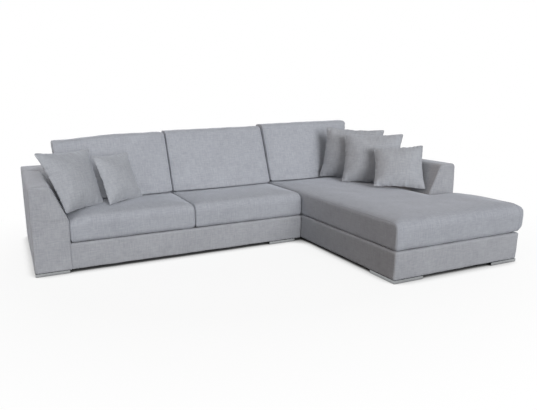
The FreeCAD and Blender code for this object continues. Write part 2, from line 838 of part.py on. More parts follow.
def seat_cushion(left, right, margin):
    """A box cushion with a crowned top and a full front, less a margin all round."""
    vector = FreeCAD.Vector
    gap = 0.3
    low = size("base_height") + gap + margin
    edge = edge_height() - margin
    back = size("section_depth") - size("back_base_depth") - size("cushion_gap") - margin
    rest = rest_height() - margin
    rest_from = back - size("back_cushion_base") - 2 * size("back_cushion_rest")
    swell, droop, drawn = 9.0, 14.0, 7.0
    wires = []
    for share in SECTION_SHARES:
        full = fullness(share)
        x = left + margin + (right - left - 2 * margin) * share
        hollow = 1 - full
        front = swell + margin + drawn * hollow
        top = edge - droop * hollow
        corners = [
            vector(x, front, low + drawn * hollow),
            vector(x, front + 16, top),
            vector(x, rest_from, rest - droop * hollow),
            vector(x, back, rest - 2 - droop * hollow),
            vector(x, back, low + drawn * hollow),
        ]
        crown = size("seat_cushion_crown") * (0.45 + 0.55 * full) - 0.4 * margin
        pushes = [
            vector(0, -swell * full - 2, 0),
            vector(0, 0, crown),
            vector(0, 0, 0),
            vector(0, 0, 0),
            vector(0, 0, 0),
        ]
        wires.append(closed_section(corners, pushes))
    return loft(wires)


def chaise_cushion(margin):
    """The long cushion of the chaise, cut back at the rear for the arm."""
    vector = FreeCAD.Vector
    gap = 0.3
    low = size("base_height") + gap + margin
    edge = edge_height() - margin
    front = -size("chaise_reach") + margin
    back = size("section_depth") - size("back_base_depth") - size("cushion_gap") - margin
    left = size("overall_width") - size("chaise_width") + size("cushion_gap") / 2 + margin
    right = size("overall_width") - margin
    rest_from = back - size("back_cushion_base") - 2 * size("back_cushion_rest")
    full_crown = size("chaise_cushion_crown") - 0.4 * margin
    rest_crown = rest_height() + size("chaise_rest_rise") - edge_height()
    run = rest_from - front
    stations = [
        (front, 30.0, 18.0, 0.35),
        (front + 10, 11.0, 6.0, 0.55),
        (front + 50, 2.0, 1.0, 0.8),
        (front + 0.3 * run, 0.0, 0.0, 1.0),
        (front + 0.65 * run, 0.0, 0.0, 1.0),
        (rest_from - 120, 0.0, 0.0, 0.72),
        (rest_from, 0.0, 0.0, None),
        (back, 0.0, 0.0, None),
    ]
    wires = []
    for y, inset, droop, share in stations:
        crown = rest_crown if share is None else full_crown * share
        corners = [
            vector(left + inset + 6, y, low + droop),
            vector(left + inset + 6, y, edge - droop),
            vector(right - inset - 6, y, edge - droop),
            vector(right - inset - 6, y, low + droop),
        ]
        pushes = [vector(-6, 0, 0), vector(0, 0, crown), vector(6, 0, 0), vector(0, 0, 0)]
        wires.append(closed_section(corners, pushes))
    solid = loft(wires)
    play = size("cushion_gap") + margin
    arm_left = size("overall_width") - size("arm_base_width") - play
    arm_front = -size("arm_reach") - play
    room = size("overall_width")
    notch = Part.makeBox(room, room * 2, room, vector(arm_left, arm_front, 0))
    return solid.cut(notch)


def hollow_cover(make, *where):
    """A cushion's cover and wadding, and the foam core that fills it."""
    margin = size("core_margin")
    outside = make(*where, 0.0)
    cover = outside.cut(make(*where, margin))
    core = make(*where, margin + size("core_play"))
    return cover, core


def back_cushion(left, right, lean, rise):
    """A leaning back cushion, thicker at its foot, with a full face.

    lean is how far the right end leans out from its foot to its top, and rise is how far
    the cushion is lifted by what it stands on.
    """
    vector = FreeCAD.Vector
    low = size("seat_height") + size("back_cushion_rest") + rise
    rear_foot = size("section_depth") - size("back_base_depth") - size("back_cushion_play")
    rear_top = size("section_depth") - size("back_top_depth") - size("back_cushion_play")
    shoulder = size("arm_height")
    front_foot = rear_foot - size("back_cushion_base")
    front_top = rear_top - size("back_cushion_top")
    tall = size("back_cushion_height")
    wires = []
    for share in SECTION_SHARES:
        full = fullness(share)
        hollow = 1 - full
        x = left + (right - left) * share
        slope = lean * share / tall
        thin, short = 12 * hollow, 10 * hollow
        foot, head = low + short, low + tall - short

        def spot(y, z):
            """A corner of this section, leaning with its end."""
            return vector(x + slope * (z - low), y, z)

        def push(y, z):
            """A push within this section's leaning plane."""
            return vector(slope * z, y, z)

        corners = [
            spot(front_foot + thin, foot),
            spot(front_top + thin, head - 6),
            spot(rear_top - thin, head - 24),
            spot(rear_top - thin, shoulder),
            spot(rear_foot - thin, foot),
        ]
        pushes = [
            push(-size("back_cushion_bulge") * (0.25 + 0.75 * full), -20),
            push(0, 16 * full + 6),
            push(6 * full, 0),
            push(0, 0),
            push(0, 0),
        ]
        wires.append(closed_section(corners, pushes))
    return loft(wires)


def throw_pillow(across, thickness):
    """A square pillow with thin edges, drawn-in sides and pointed corners."""
    vector = FreeCAD.Vector
    half, edge = across / 2, size("pillow_edge") / 2
    draw = size("pillow_draw")
    wires = []
    stations = 9
    for index in range(stations):
        along = 2 * index / (stations - 1) - 1
        open_up = (1 - along * along) ** 0.62
        reach = half - draw * (1 - along * along)
        push = (thickness / 2 - edge) * open_up
        z = along * half
        corners = [
            vector(-reach, -edge, z),
            vector(reach, -edge, z),
            vector(reach, edge, z),
            vector(-reach, edge, z),
        ]
        pushes = [vector(0, -push - 1, 0), vector(0, 0, 0), vector(0, push + 1, 0), vector(0, 0, 0)]
        wires.append(closed_section(corners, pushes))
    solid = loft(wires)
    deep = thickness
    wide = half + draw
    corners = [vector(x, -deep, z) for x, z in ((-wide, half), (wide, half), (wide, -half), (-wide, -half))]
    pushes = [vector(0, 0, -draw), vector(0, 0, 0), vector(0, 0, draw), vector(0, 0, 0)]
    outline = closed_section(corners, pushes)
    return solid.common(Part.Face(outline).extrude(vector(0, 2 * deep, 0)))


# Where each throw pillow leans: size, x, y, height of its centre over the seat, turn, tilt, roll
PILLOWS = {
    "left_large_pillow": ("large", "left", 118, 262, 225, 40, 26, 1.5),
    "left_small_pillow": ("small", "left", 434, 342, 206, 37, 24, 1.5),
    "right_rear_pillow": ("large", "right", -135, 300, 249, -46, 14, 2.5),
    "right_middle_pillow": ("large", "right", -123, 42, 238, -42, 22, 0.5),
    "right_front_pillow": ("small", "right", -88, -262, 202, -36, 34, 0),
}


def make_pillows():
    """The throw pillows, each flattened where it rests on a seat."""
    peaks = {
        "left": (edge_height() + rest_height()) / 2 + size("seat_cushion_crown"),
        "right": edge_height() + size("chaise_cushion_crown"),
    }
    inner = {
        "left": size("arm_base_width"),
        "right": size("overall_width") - size("arm_base_width"),
    }
    formats = {
        "large": (size("large_pillow_side"), size("large_pillow_thickness")),
        "small": (size("small_pillow_side"), size("small_pillow_thickness")),
    }
    for label, (kind, where, dx, y, rise, turn, tilt, roll) in PILLOWS.items():
        pillow = throw_pillow(*formats[kind])
        vector = FreeCAD.Vector
        turned = FreeCAD.Rotation(vector(0, 0, 1), turn)
        turned = turned.multiply(FreeCAD.Rotation(vector(1, 0, 0), -tilt))
        turned = turned.multiply(FreeCAD.Rotation(vector(0, 1, 0), roll))
        place = FreeCAD.Placement(vector(inner[where] + dx, y, size("seat_height") + rise), turned)
        seat = peaks[where] + size("pillow_clearance")
        room = size("overall_width")
        below = Part.makeBox(4 * room, 4 * room, room, vector(-room, -2 * room, seat - room))
        below.Placement = place.inverse().multiply(below.Placement)
        add_feature_node(pillow.cut(below), label, place)


def make_cushions():
    """Seat, chaise and back cushions, and the throw pillows."""
    gap = size("cushion_gap")
    chaise_left = size("overall_width") - size("chaise_width")
    arm = size("arm_base_width")
    middle = (arm + chaise_left) / 2
    spans = {"left": (arm + gap, middle - gap / 2), "middle": (middle + gap / 2, chaise_left - gap / 2)}
    for name, (left, right) in spans.items():
        cover, core = hollow_cover(seat_cushion, left, right)
        add_feature_node(cover, name + "_seat_cushion")
        add_feature_node(core, name + "_seat_core")
    cover, core = hollow_cover(chaise_cushion)
    add_feature_node(cover, "chaise_cushion")
    add_feature_node(core, "chaise_core")
    play = size("back_cushion_play")
    arm_right = size("overall_width") - arm
    spans = {
        "left": (arm + play, middle - gap / 2, 0.0, 0.0),
        "middle": (middle + gap / 2, chaise_left - gap / 2, 0.0, 0.0),
        "corner": (
            chaise_left + gap / 2, arm_right - play, size("corner_cushion_lean"), size("chaise_rest_rise"),
        ),
    }
    for name, span in spans.items():
        add_feature_node(back_cushion(*span), name + "_back_cushion")
    make_pillows()


def check_and_write():
    """Stop on any failed or broken piece, and then write every node."""
    doc.recompute()
    for item in doc.Objects:
        if "Invalid" in item.State or "Error" in item.State:
            raise ValueError("failed object: " + item.Label)
    for item in nodes:
        if item.Shape.isNull() or not item.Shape.isValid() or not item.Shape.Solids:
            raise ValueError("broken shape: " + item.Label)
    for item in nodes:
        item.Shape.exportStep("parts/%s.step" % item.Label)
    print("nodes", len(nodes))


make_left_section()
make_chaise_section()
make_joint()
make_cushions()
check_and_write()
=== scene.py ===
"""Looks of a corner sofa: two upholstered sections, loose cushions and throw pillows.

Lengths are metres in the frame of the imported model: +X to the right, +Y to the back, +Z up,
with the origin on the floor in the middle of the footprint.
"""

import logging
import math
from contextlib import contextmanager
from dataclasses import dataclass, field
from enum import Enum
from typing import Callable, Iterator, Sequence

import bmesh
import bpy
import numpy
from mathutils import Matrix, Vector, noise


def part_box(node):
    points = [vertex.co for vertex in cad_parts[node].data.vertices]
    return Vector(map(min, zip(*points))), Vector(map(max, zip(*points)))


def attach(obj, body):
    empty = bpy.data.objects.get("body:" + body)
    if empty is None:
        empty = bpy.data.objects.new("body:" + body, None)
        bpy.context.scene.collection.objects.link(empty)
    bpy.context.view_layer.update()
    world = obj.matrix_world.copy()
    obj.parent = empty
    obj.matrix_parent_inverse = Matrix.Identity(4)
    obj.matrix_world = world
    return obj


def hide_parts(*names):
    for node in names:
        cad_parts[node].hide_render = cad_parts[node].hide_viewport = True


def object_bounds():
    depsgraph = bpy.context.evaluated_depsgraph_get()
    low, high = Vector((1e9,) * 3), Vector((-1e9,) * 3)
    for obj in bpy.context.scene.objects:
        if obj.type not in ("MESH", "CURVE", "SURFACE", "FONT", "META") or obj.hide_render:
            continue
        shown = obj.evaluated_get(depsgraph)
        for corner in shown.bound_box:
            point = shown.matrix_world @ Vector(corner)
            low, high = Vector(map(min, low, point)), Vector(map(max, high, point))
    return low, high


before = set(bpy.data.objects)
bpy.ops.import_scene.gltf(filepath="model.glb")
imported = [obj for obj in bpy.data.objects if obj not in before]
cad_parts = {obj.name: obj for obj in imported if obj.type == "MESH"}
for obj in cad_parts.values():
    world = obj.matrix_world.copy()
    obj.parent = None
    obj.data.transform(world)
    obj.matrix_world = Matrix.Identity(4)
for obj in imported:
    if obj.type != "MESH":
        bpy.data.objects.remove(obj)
CAD_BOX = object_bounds()

logging.basicConfig(level=logging.INFO, format="%(message)s")
log = logging.getLogger("sofa")

# Lines that the node boxes do not give, and how far a cutter reaches past what it cuts
ARM_TOP_WIDTH = 0.142
BACK_TOP_DEPTH = 0.280
ARM_TOP = 0.63
SEAT_LINE = 0.392
DECK_LINE = 0.205
CAVITY_TOP = 0.206
PADDING = 0.020
LINING = 0.006
PAST = 0.05
SNUG = 0.0005
WEAVE_MAP = "weave"

Point = tuple[float, float, float]
Test = Callable[[Vector], bool]


class Part(Enum):
    """What an edit selects."""

    VERTS = "VERT"
    EDGES = "EDGE"
    FACES = "FACE"


class Side(Enum):
    """The end of the sofa that a piece stands at, as the sign of X."""

    LEFT = -1
    RIGHT = 1


def deselect() -> None:
    """Leaves edit mode and clears the selection."""
    if bpy.context.object is not None and bpy.context.object.mode != "OBJECT":
        bpy.ops.object.mode_set(mode="OBJECT")
    bpy.ops.object.select_all(action="DESELECT")


def pick(piece: bpy.types.Object) -> None:
    """Makes one object the only one selected, and the active one.

    Args:
        piece: the object to select.
    """
    deselect()
    piece.select_set(True)
    bpy.context.view_layer.objects.active = piece


@contextmanager
def editing(piece: bpy.types.Object) -> Iterator[bmesh.types.BMesh]:
    """Opens an object's mesh in edit mode.

    Args:
        piece: the object to edit.

    Yields:
        The mesh that is being edited.
    """
    pick(piece)
    bpy.ops.object.mode_set(mode="EDIT")
    yield bmesh.from_edit_mesh(piece.data)
    bpy.ops.object.mode_set(mode="OBJECT")


def runs_along(item: bmesh.types.BMEdge | bmesh.types.BMFace, axis: int | None) -> bool:
    """Says whether an edge runs mostly along an axis; with no axis, anything does.

    Args:
        item: the edge or face.
        axis: the axis, if any.

    Returns:
        Whether it does.
    """
    if axis is None:
        return True
    span = item.verts[1].co - item.verts[0].co
    return abs(span[axis]) > 0.7 * span.length


def choose(piece: bpy.types.Object, part: Part, test: Test, axis: int | None = None) -> int:
    """Selects, in edit mode, what passes a test on every one of its corners.

    Args:
        piece: the object in edit mode.
        part: whether vertices, edges or faces are selected.
        test: says whether a corner's position belongs.
        axis: the axis that edges have to run along, if any.

    Returns:
        How many were selected.
    """
    bpy.ops.mesh.select_mode(type=part.value)
    bpy.ops.mesh.select_all(action="DESELECT")
    mesh = bmesh.from_edit_mesh(piece.data)
    found = 0
    if part is Part.VERTS:
        for vert in mesh.verts:
            if test(vert.co):
                vert.select_set(True)
                found += 1
    else:
        for item in mesh.edges if part is Part.EDGES else mesh.faces:
            if all(test(vert.co) for vert in item.verts) and runs_along(item, axis):
                item.select_set(True)
                found += 1
    mesh.select_flush_mode()
    bmesh.update_edit_mesh(piece.data)
    return found


def near(value: float, target: float, slack: float = 1e-4) -> bool:
    """Says whether a coordinate lies on a plane."""
    return abs(value - target) < slack


def block(name: str, low: Sequence[float], high: Sequence[float]) -> bpy.types.Object:
    """Adds a block between two corners, as the start of a piece.

    Args:
        name: the object's name.
        low: its lowest corner.
        high: its highest corner.

    Returns:
        The new object, with its place in its mesh.
    """
    low, high = Vector(low), Vector(high)
    deselect()
    bpy.ops.mesh.primitive_cube_add(size=1.0, location=(low + high) / 2)
    piece = bpy.context.object
    piece.scale = high - low
    piece.name = piece.data.name = name
    bpy.ops.object.transform_apply(location=True, rotation=True, scale=True)
    return piece


def shift(piece: bpy.types.Object, test: Test, move: Point) -> None:
    """Moves the vertices that pass a test.

    Args:
        piece: the object to change.
        test: says whether a corner's position belongs.
        move: how far they move.
    """
    with editing(piece):
        choose(piece, Part.VERTS, test)
        bpy.ops.transform.translate(value=move)


def slice_across(piece: bpy.types.Object, point: Point, normal: Point) -> None:
    """Cuts new edges where a plane crosses a mesh, and keeps both halves.

    Args:
        piece: the object to cut.
        point: a point of the plane.
        normal: the plane's normal.
    """
    with editing(piece):
        bpy.ops.mesh.select_all(action="SELECT")
        bpy.ops.mesh.bisect(plane_co=point, plane_no=normal)


def bevel(piece: bpy.types.Object, test: Test, width: float, segments: int = 5,
          axis: int | None = None) -> None:
    """Rounds the edges whose two ends pass a test.

    Args:
        piece: the object to round.
        test: says whether an end's position belongs to the edge.
        width: how far the round reaches from the edge.
        segments: the number of faces across the round.
        axis: the axis that the edges run along, if it matters.
    """
    with editing(piece):
        if choose(piece, Part.EDGES, test, axis):
            bpy.ops.mesh.bevel(offset=width, segments=segments, affect="EDGES")


def apply_modifier(piece: bpy.types.Object, kind: str, **settings: object) -> None:
    """Adds a modifier with its settings and applies it.

    Args:
        piece: the object to change.
        kind: the modifier's type.
        settings: its properties by name.
    """
    pick(piece)
    modifier = piece.modifiers.new(kind.title(), kind)
    for key, value in settings.items():
        setattr(modifier, key, value)
    bpy.ops.object.modifier_apply(modifier=modifier.name)


def remesh(piece: bpy.types.Object, voxel: float, smooth: int = 0) -> None:
    """Rebuilds a closed mesh from even quads, and eases its edges.

    Args:
        piece: the object to rebuild.
        voxel: the size of a quad.
        smooth: how many smoothing rounds follow.
    """
    apply_modifier(piece, "REMESH", mode="VOXEL", voxel_size=voxel)
    if smooth:
        apply_modifier(piece, "SMOOTH", factor=0.5, iterations=smooth)


def cut_away(piece: bpy.types.Object, low: Sequence[float], high: Sequence[float]) -> None:
    """Takes the space between two corners out of a piece.

    Args:
        piece: the closed mesh to cut.
        low: the space's lowest corner.
        high: the space's highest corner.
    """
    cut_with(piece, block("cutter", low, high))


def cut_with(piece: bpy.types.Object, cutter: bpy.types.Object) -> None:
    """Takes a cutter's shape out of a piece and removes the cutter."""
    apply_modifier(piece, "BOOLEAN", operation="DIFFERENCE", solver="EXACT", object=cutter)
    bpy.data.objects.remove(cutter)


def read_points(piece: bpy.types.Object) -> numpy.ndarray:
    """Returns a mesh's vertex positions, one row each.

    Args:
        piece: the object to read.

    Returns:
        The positions.
    """
    points = numpy.empty(len(piece.data.vertices) * 3, numpy.float32)
    piece.data.vertices.foreach_get("co", points)
    return points.reshape(-1, 3).astype(float)


def read_normals(piece: bpy.types.Object) -> numpy.ndarray:
    """Returns a mesh's vertex normals, one row each.

    Args:
        piece: the object to read.

    Returns:
        The normals.
    """
    normals = numpy.empty(len(piece.data.vertices) * 3, numpy.float32)
    piece.data.vertices.foreach_get("normal", normals)
    return normals.reshape(-1, 3)


def write_points(piece: bpy.types.Object, points: numpy.ndarray) -> None:
    """Gives a mesh new vertex positions, one row each."""
    piece.data.vertices.foreach_set("co", points.astype(numpy.float32).ravel())
    piece.data.update()


def smooth_step(values: numpy.ndarray, start: float, end: float) -> numpy.ndarray:
    """Rises from 0 at start to 1 at end with no corner."""
    share = numpy.clip((values - start) / (end - start), 0.0, 1.0)
    return share * share * (3.0 - 2.0 * share)


def hold_below(values: numpy.ndarray, limit: object, soft: float) -> numpy.ndarray:
    """Keeps values under a limit, easing in over the last stretch.

    Args:
        values: the coordinates to hold.
        limit: the highest value, one number or one for each.
        soft: the stretch over which a value is slowed down.

    Returns:
        The coordinates, none above the limit.
    """
    start = limit - soft
    over = numpy.maximum(values - start, 0.0)
    return numpy.where(values > start, start + soft * numpy.tanh(over / soft), values)


def hold_above(values: numpy.ndarray, limit: object, soft: float) -> numpy.ndarray:
    """Keeps values over a limit, easing in over the last stretch."""
    return -hold_below(-values, -limit, soft)


def spread(values: numpy.ndarray, low: float, high: float) -> numpy.ndarray:
    """Stretches coordinates evenly so that they reach from low to high."""
    start, stop = values.min(), values.max()
    return low + (values - start) * (high - low) / (stop - start)


def ripple(piece: bpy.types.Object, size: float, height: float, seed: float) -> None:
    """Moves a skin in and out a little along its normals, as cloth over padding does.

    Args:
        piece: the object to change.
        size: the length of a ripple.
        height: the most that a point moves.
        seed: where in the noise the piece lies.
    """
    points = read_points(piece)
    normals = read_normals(piece)
    places = points / size + numpy.array((seed, seed * 0.7, -seed))
    swell = numpy.array([noise.noise(place) for place in places.tolist()])
    write_points(piece, points + normals * (height * swell)[:, None])


def shade(piece: bpy.types.Object, angle: float = 40.0) -> None:
    """Shades a piece smooth up to an angle between faces, in degrees."""
    pick(piece)
    bpy.ops.object.shade_smooth_by_angle(angle=math.radians(angle))


def lay_weave(piece: bpy.types.Object, turn: Matrix | None = None) -> None:
    """Lays a UV map in metres, from the side that each face looks to.

    Args:
        piece: the object to map.
        turn: the piece's own frame, where it does not stand square.
    """
    mesh = piece.data
    layer = mesh.uv_layers.get(WEAVE_MAP) or mesh.uv_layers.new(name=WEAVE_MAP)
    points = read_points(piece)
    normals = numpy.empty(len(mesh.polygons) * 3, numpy.float32)
    mesh.polygons.foreach_get("normal", normals)
    normals = normals.reshape(-1, 3)
    if turn is not None:
        own = numpy.array(turn.to_3x3().inverted())
        points = points @ own.T
        normals = normals @ own.T
    totals = numpy.empty(len(mesh.polygons), numpy.int32)
    mesh.polygons.foreach_get("loop_total", totals)
    corners = numpy.empty(len(mesh.loops), numpy.int32)
    mesh.loops.foreach_get("vertex_index", corners)
    axis = numpy.repeat(numpy.abs(normals).argmax(axis=1), totals)
    at = points[corners]
    across = numpy.where(axis == 0, at[:, 1], at[:, 0])
    along = numpy.where(axis == 2, at[:, 1], at[:, 2])
    layer.data.foreach_set("uv", numpy.stack([across, along], axis=1).astype(numpy.float32).ravel())


def tube_from_edges(piece: bpy.types.Object, name: str, radius: float) -> bpy.types.Object:
    """Turns an object's loose edges into a round cord of the same name and place.

    Args:
        piece: an object that holds edges only.
        name: the new piece's name.
        radius: the cord's radius.

    Returns:
        The cord, as a mesh.
    """
    pick(piece)
    bpy.ops.object.convert(target="CURVE")
    curve = bpy.context.object
    curve.name = curve.data.name = name
    curve.data.bevel_depth = radius
    curve.data.bevel_resolution = 2
    curve.data.use_fill_caps = True
    bpy.ops.object.convert(target="MESH")
    made = bpy.context.object
    made.name = made.data.name = name
    return made


def duplicate(piece: bpy.types.Object, name: str) -> bpy.types.Object:
    """Returns a copy of an object with its own mesh.

    Args:
        piece: the object to copy.
        name: the copy's name.

    Returns:
        The copy.
    """
    pick(piece)
    bpy.ops.object.duplicate()
    copy = bpy.context.object
    copy.name = copy.data.name = name
    return copy


def section_cord(piece: bpy.types.Object, name: str, point: Point, normal: Point,
                 radius: float, trims: Sequence[tuple[Point, Point]] = ()) -> bpy.types.Object:
    """Lays a cord on a piece's skin where a plane cuts it.

    Args:
        piece: the piece that the cord is sewn on.
        name: the cord's name.
        point: a point of the cutting plane.
        normal: the plane's normal.
        radius: the cord's radius.
        trims: planes, as point and normal, behind which the cord is left out.

    Returns:
        The cord, as a mesh.
    """
    line = duplicate(piece, name)
    with editing(line):
        bpy.ops.mesh.select_all(action="SELECT")
        bpy.ops.mesh.bisect(plane_co=point, plane_no=normal, clear_inner=True, clear_outer=True)
        for trim_point, trim_normal in trims:
            bpy.ops.mesh.select_all(action="SELECT")
            bpy.ops.mesh.bisect(plane_co=trim_point, plane_no=trim_normal, clear_inner=True)
    return tube_from_edges(line, name, radius)


class Shader:
    """The node tree of one material, with the steps that the finishes share."""

    def __init__(self, name: str) -> None:
        """Starts a material with a plain surface shader.

        Args:
            name: its name.
        """
        self.material = bpy.data.materials.new(name)
        self.material.use_nodes = True
        self.tree = self.material.node_tree
        self.tree.nodes.clear()
        self.surface = self.add("ShaderNodeBsdfPrincipled")
        output = self.add("ShaderNodeOutputMaterial")
        self.join(self.surface.outputs["BSDF"], output.inputs["Surface"])

    def add(self, kind: str, **settings: object) -> bpy.types.Node:
        """Adds a node and sets its properties.

        Args:
            kind: the node's type.
            settings: its properties by name.

        Returns:
            The node.
        """
        node = self.tree.nodes.new(kind)
        for key, value in settings.items():
            setattr(node, key, value)
        return node

    def join(self, source: bpy.types.NodeSocket, target: bpy.types.NodeSocket) -> None:
        """Links an output to an input."""
        self.tree.links.new(source, target)

    def set(self, **values: object) -> None:
        """Sets the surface's own sockets, named with underscores for spaces."""
        for key, value in values.items():
            self.surface.inputs[key.replace("_", " ")].default_value = value

    def place(self, scale: Point = (1.0, 1.0, 1.0), on_weave: bool = False) -> bpy.types.NodeSocket:
        """Gives the point that a pattern reads.

        Args:
            scale: how often the pattern repeats along each axis.
            on_weave: whether the point follows the cloth's map and not the object.

        Returns:
            The scaled point.
        """
        if on_weave:
            source = self.add("ShaderNodeUVMap", uv_map=WEAVE_MAP).outputs["UV"]
        else:
            source = self.add("ShaderNodeTexCoord").outputs["Object"]
        mapping = self.add("ShaderNodeMapping")
        mapping.inputs["Scale"].default_value = scale
        self.join(source, mapping.inputs["Vector"])
        return mapping.outputs["Vector"]

    def noise(self, point: bpy.types.NodeSocket, scale: float = 1.0, detail: float = 2.0,
              roughness: float = 0.5, distortion: float = 0.0) -> bpy.types.NodeSocket:
        """Returns a noise pattern from 0 to 1.

        Args:
            point: the point that the pattern reads.
            scale: how often the pattern repeats.
            detail: how many finer layers it has.
            roughness: how strong these are.
            distortion: how far the pattern is bent.

        Returns:
            The pattern.
        """
        node = self.add("ShaderNodeTexNoise")
        node.inputs["Scale"].default_value = scale
        node.inputs["Detail"].default_value = detail
        node.inputs["Roughness"].default_value = roughness
        node.inputs["Distortion"].default_value = distortion
        self.join(point, node.inputs["Vector"])
        return node.outputs["Fac"]

    def wave(self, point: bpy.types.NodeSocket, direction: str, scale: float,
             distortion: float = 0.0) -> bpy.types.NodeSocket:
        """Returns even bands from 0 to 1 across one axis.

        Args:
            point: the point that the pattern reads.
            direction: the axis that the bands cross.
            scale: how often the pattern repeats.
            distortion: how far the pattern is bent.

        Returns:
            The pattern.
        """
        node = self.add("ShaderNodeTexWave", wave_type="BANDS", bands_direction=direction)
        node.inputs["Scale"].default_value = scale
        node.inputs["Distortion"].default_value = distortion
        node.inputs["Detail"].default_value = 1.0
        self.join(point, node.inputs["Vector"])
        return node.outputs["Fac"]

    def reach(self, value: bpy.types.NodeSocket, low: float, high: float,
              to_low: float = 0.0, to_high: float = 1.0) -> bpy.types.NodeSocket:
        """Stretches a range of a pattern to another range.

        Args:
            value: the pattern.
            low: where the pattern's range starts.
            high: where the pattern's range ends.
            to_low: where the range starts afterwards.
            to_high: where it ends afterwards.

        Returns:
            The stretched pattern.
        """
        node = self.add("ShaderNodeMapRange", clamp=True)
        limits = {"From Min": low, "From Max": high, "To Min": to_low, "To Max": to_high}
        for key, number in limits.items():
            node.inputs[key].default_value = number
        self.join(value, node.inputs["Value"])
        return node.outputs["Result"]

    def combine(self, operation: str, first: object, second: object) -> bpy.types.NodeSocket:
        """Joins two patterns or numbers by an arithmetic step.

        Args:
            operation: the arithmetic step.
            first: a pattern or a number.
            second: a pattern or a number.

        Returns:
            The joint pattern.
        """
        node = self.add("ShaderNodeMath", operation=operation)
        for socket, value in zip(node.inputs, (first, second)):
            if isinstance(value, bpy.types.NodeSocket):
                self.join(value, socket)
            else:
                socket.default_value = value
        return node.outputs["Value"]

    def blend(self, share: bpy.types.NodeSocket, first: object, second: object,
              mode: str = "MIX") -> bpy.types.NodeSocket:
        """Mixes two colours by a pattern.

        Args:
            share: how much of the second colour shows.
            first: a colour or a socket that gives one.
            second: a colour or a socket that gives one.
            mode: the way of mixing.

        Returns:
            The mixed colour.
        """
        node = self.add("ShaderNodeMix", data_type="RGBA", blend_type=mode)
        if isinstance(share, bpy.types.NodeSocket):
            self.join(share, node.inputs[0])
        else:
            node.inputs[0].default_value = share
        for socket, value in ((node.inputs[6], first), (node.inputs[7], second)):
            if isinstance(value, bpy.types.NodeSocket):
                self.join(value, socket)
            else:
                socket.default_value = (*value, 1.0)
        return node.outputs[2]

    def colour(self, value: bpy.types.NodeSocket) -> None:
        """Gives the surface its colour."""
        self.join(value, self.surface.inputs["Base Color"])

    def relief(self, height: bpy.types.NodeSocket, strength: float, depth: float,
               under: bpy.types.NodeSocket | None = None) -> bpy.types.NodeSocket:
        """Adds a bump to the surface.

        Args:
            height: the pattern that stands up.
            strength: how much of it shows.
            depth: its height in metres.
            under: the relief that it lies on.

        Returns:
            The bumped normal.
        """
        node = self.add("ShaderNodeBump")
        node.inputs["Strength"].default_value = strength
        node.inputs["Distance"].default_value = depth
        self.join(height, node.inputs["Height"])
        if under is not None:
            self.join(under, node.inputs["Normal"])
        self.join(node.outputs["Normal"], self.surface.inputs["Normal"])
        return node.outputs["Normal"]


Colour = tuple[float, float, float]


@dataclass(frozen=True)
class WovenFabric:
    """A soft slubbed upholstery weave.

    Attributes:
        name: the finish's name.
        yarn: the main colour of the yarn.
        shade: the darker yarn in the low places.
        lustre: how much light the pile catches at a glancing angle.
        slub: how strongly the thick yarns show.
    """

    name: str
    yarn: Colour
    shade: Colour
    lustre: float = 0.35
    slub: float = 0.5

    def make(self) -> bpy.types.Material:
        """Returns the material, with slubs both ways, a fine weave and uneven dye.

        Returns:
            The material.
        """
        shader = Shader(self.name)
        shader.set(Roughness=0.92, Sheen_Weight=self.lustre, Sheen_Roughness=0.45,
                   Sheen_Tint=(0.86, 0.90, 1.0, 1.0), Specular_IOR_Level=0.22)
        across = shader.noise(shader.place((38.0, 520.0, 1.0), on_weave=True), 1.0, 3.0, 0.6)
        upright = shader.noise(shader.place((460.0, 34.0, 1.0), on_weave=True), 1.0, 3.0, 0.6)
        slubs = shader.combine("MAXIMUM", shader.reach(across, 0.42, 0.74),
                               shader.reach(upright, 0.46, 0.78))
        patches = shader.noise(shader.place(), 5.5, 4.0, 0.55, 0.4)
        long_across = shader.noise(shader.place((17.0, 120.0, 1.0), on_weave=True), 1.0, 2.0, 0.6)
        long_upright = shader.noise(shader.place((110.0, 15.0, 1.0), on_weave=True), 1.0, 2.0, 0.6)
        streaks = shader.combine("ADD", long_across, long_upright)
        tone = shader.combine("ADD", shader.combine("MULTIPLY", patches, 0.45),
                              shader.combine("MULTIPLY", streaks, 0.65))
        share = shader.combine("SUBTRACT", tone, shader.combine("MULTIPLY", slubs, self.slub * 0.55))
        shader.colour(shader.blend(shader.reach(share, 0.47, 1.05), self.yarn, self.shade))
        warp = shader.wave(shader.place(on_weave=True), "X", 95.0, 0.6)
        weft = shader.wave(shader.place(on_weave=True), "Y", 95.0, 0.6)
        fine = shader.combine("MULTIPLY", warp, weft)
        threads = shader.relief(fine, 0.25, 0.0005)
        shader.relief(slubs, 0.35 * self.slub, 0.0012, threads)
        return shader.material


@dataclass(frozen=True)
class SawnWood:
    """Timber or board with its grain along one axis.

    Attributes:
        name: the finish's name.
        pale: the colour of the early wood.
        dark: the colour of the rings.
        rings: how often the rings repeat across the piece, for each metre.
        fibre: how strongly the fine fibre shows.
    """

    name: str
    pale: Colour
    dark: Colour
    rings: float
    fibre: float

    def make(self) -> bpy.types.Material:
        """Returns the material, with growth rings, fibre and saw marks.

        Returns:
            The material.
        """
        shader = Shader(self.name)
        shader.set(Roughness=0.62, Specular_IOR_Level=0.3)
        rings = shader.noise(shader.place((1.5, self.rings, self.rings)), 1.0, 4.0, 0.6, 1.4)
        fibre = shader.noise(shader.place((14.0, 420.0, 420.0)), 1.0, 2.0, 0.5)
        share = shader.combine("ADD", shader.reach(rings, 0.35, 0.68),
                               shader.combine("MULTIPLY", fibre, self.fibre))
        shader.colour(shader.blend(shader.reach(share, 0.1, 1.25), self.pale, self.dark))
        shader.relief(fibre, 0.3, 0.0004)
        return shader.material


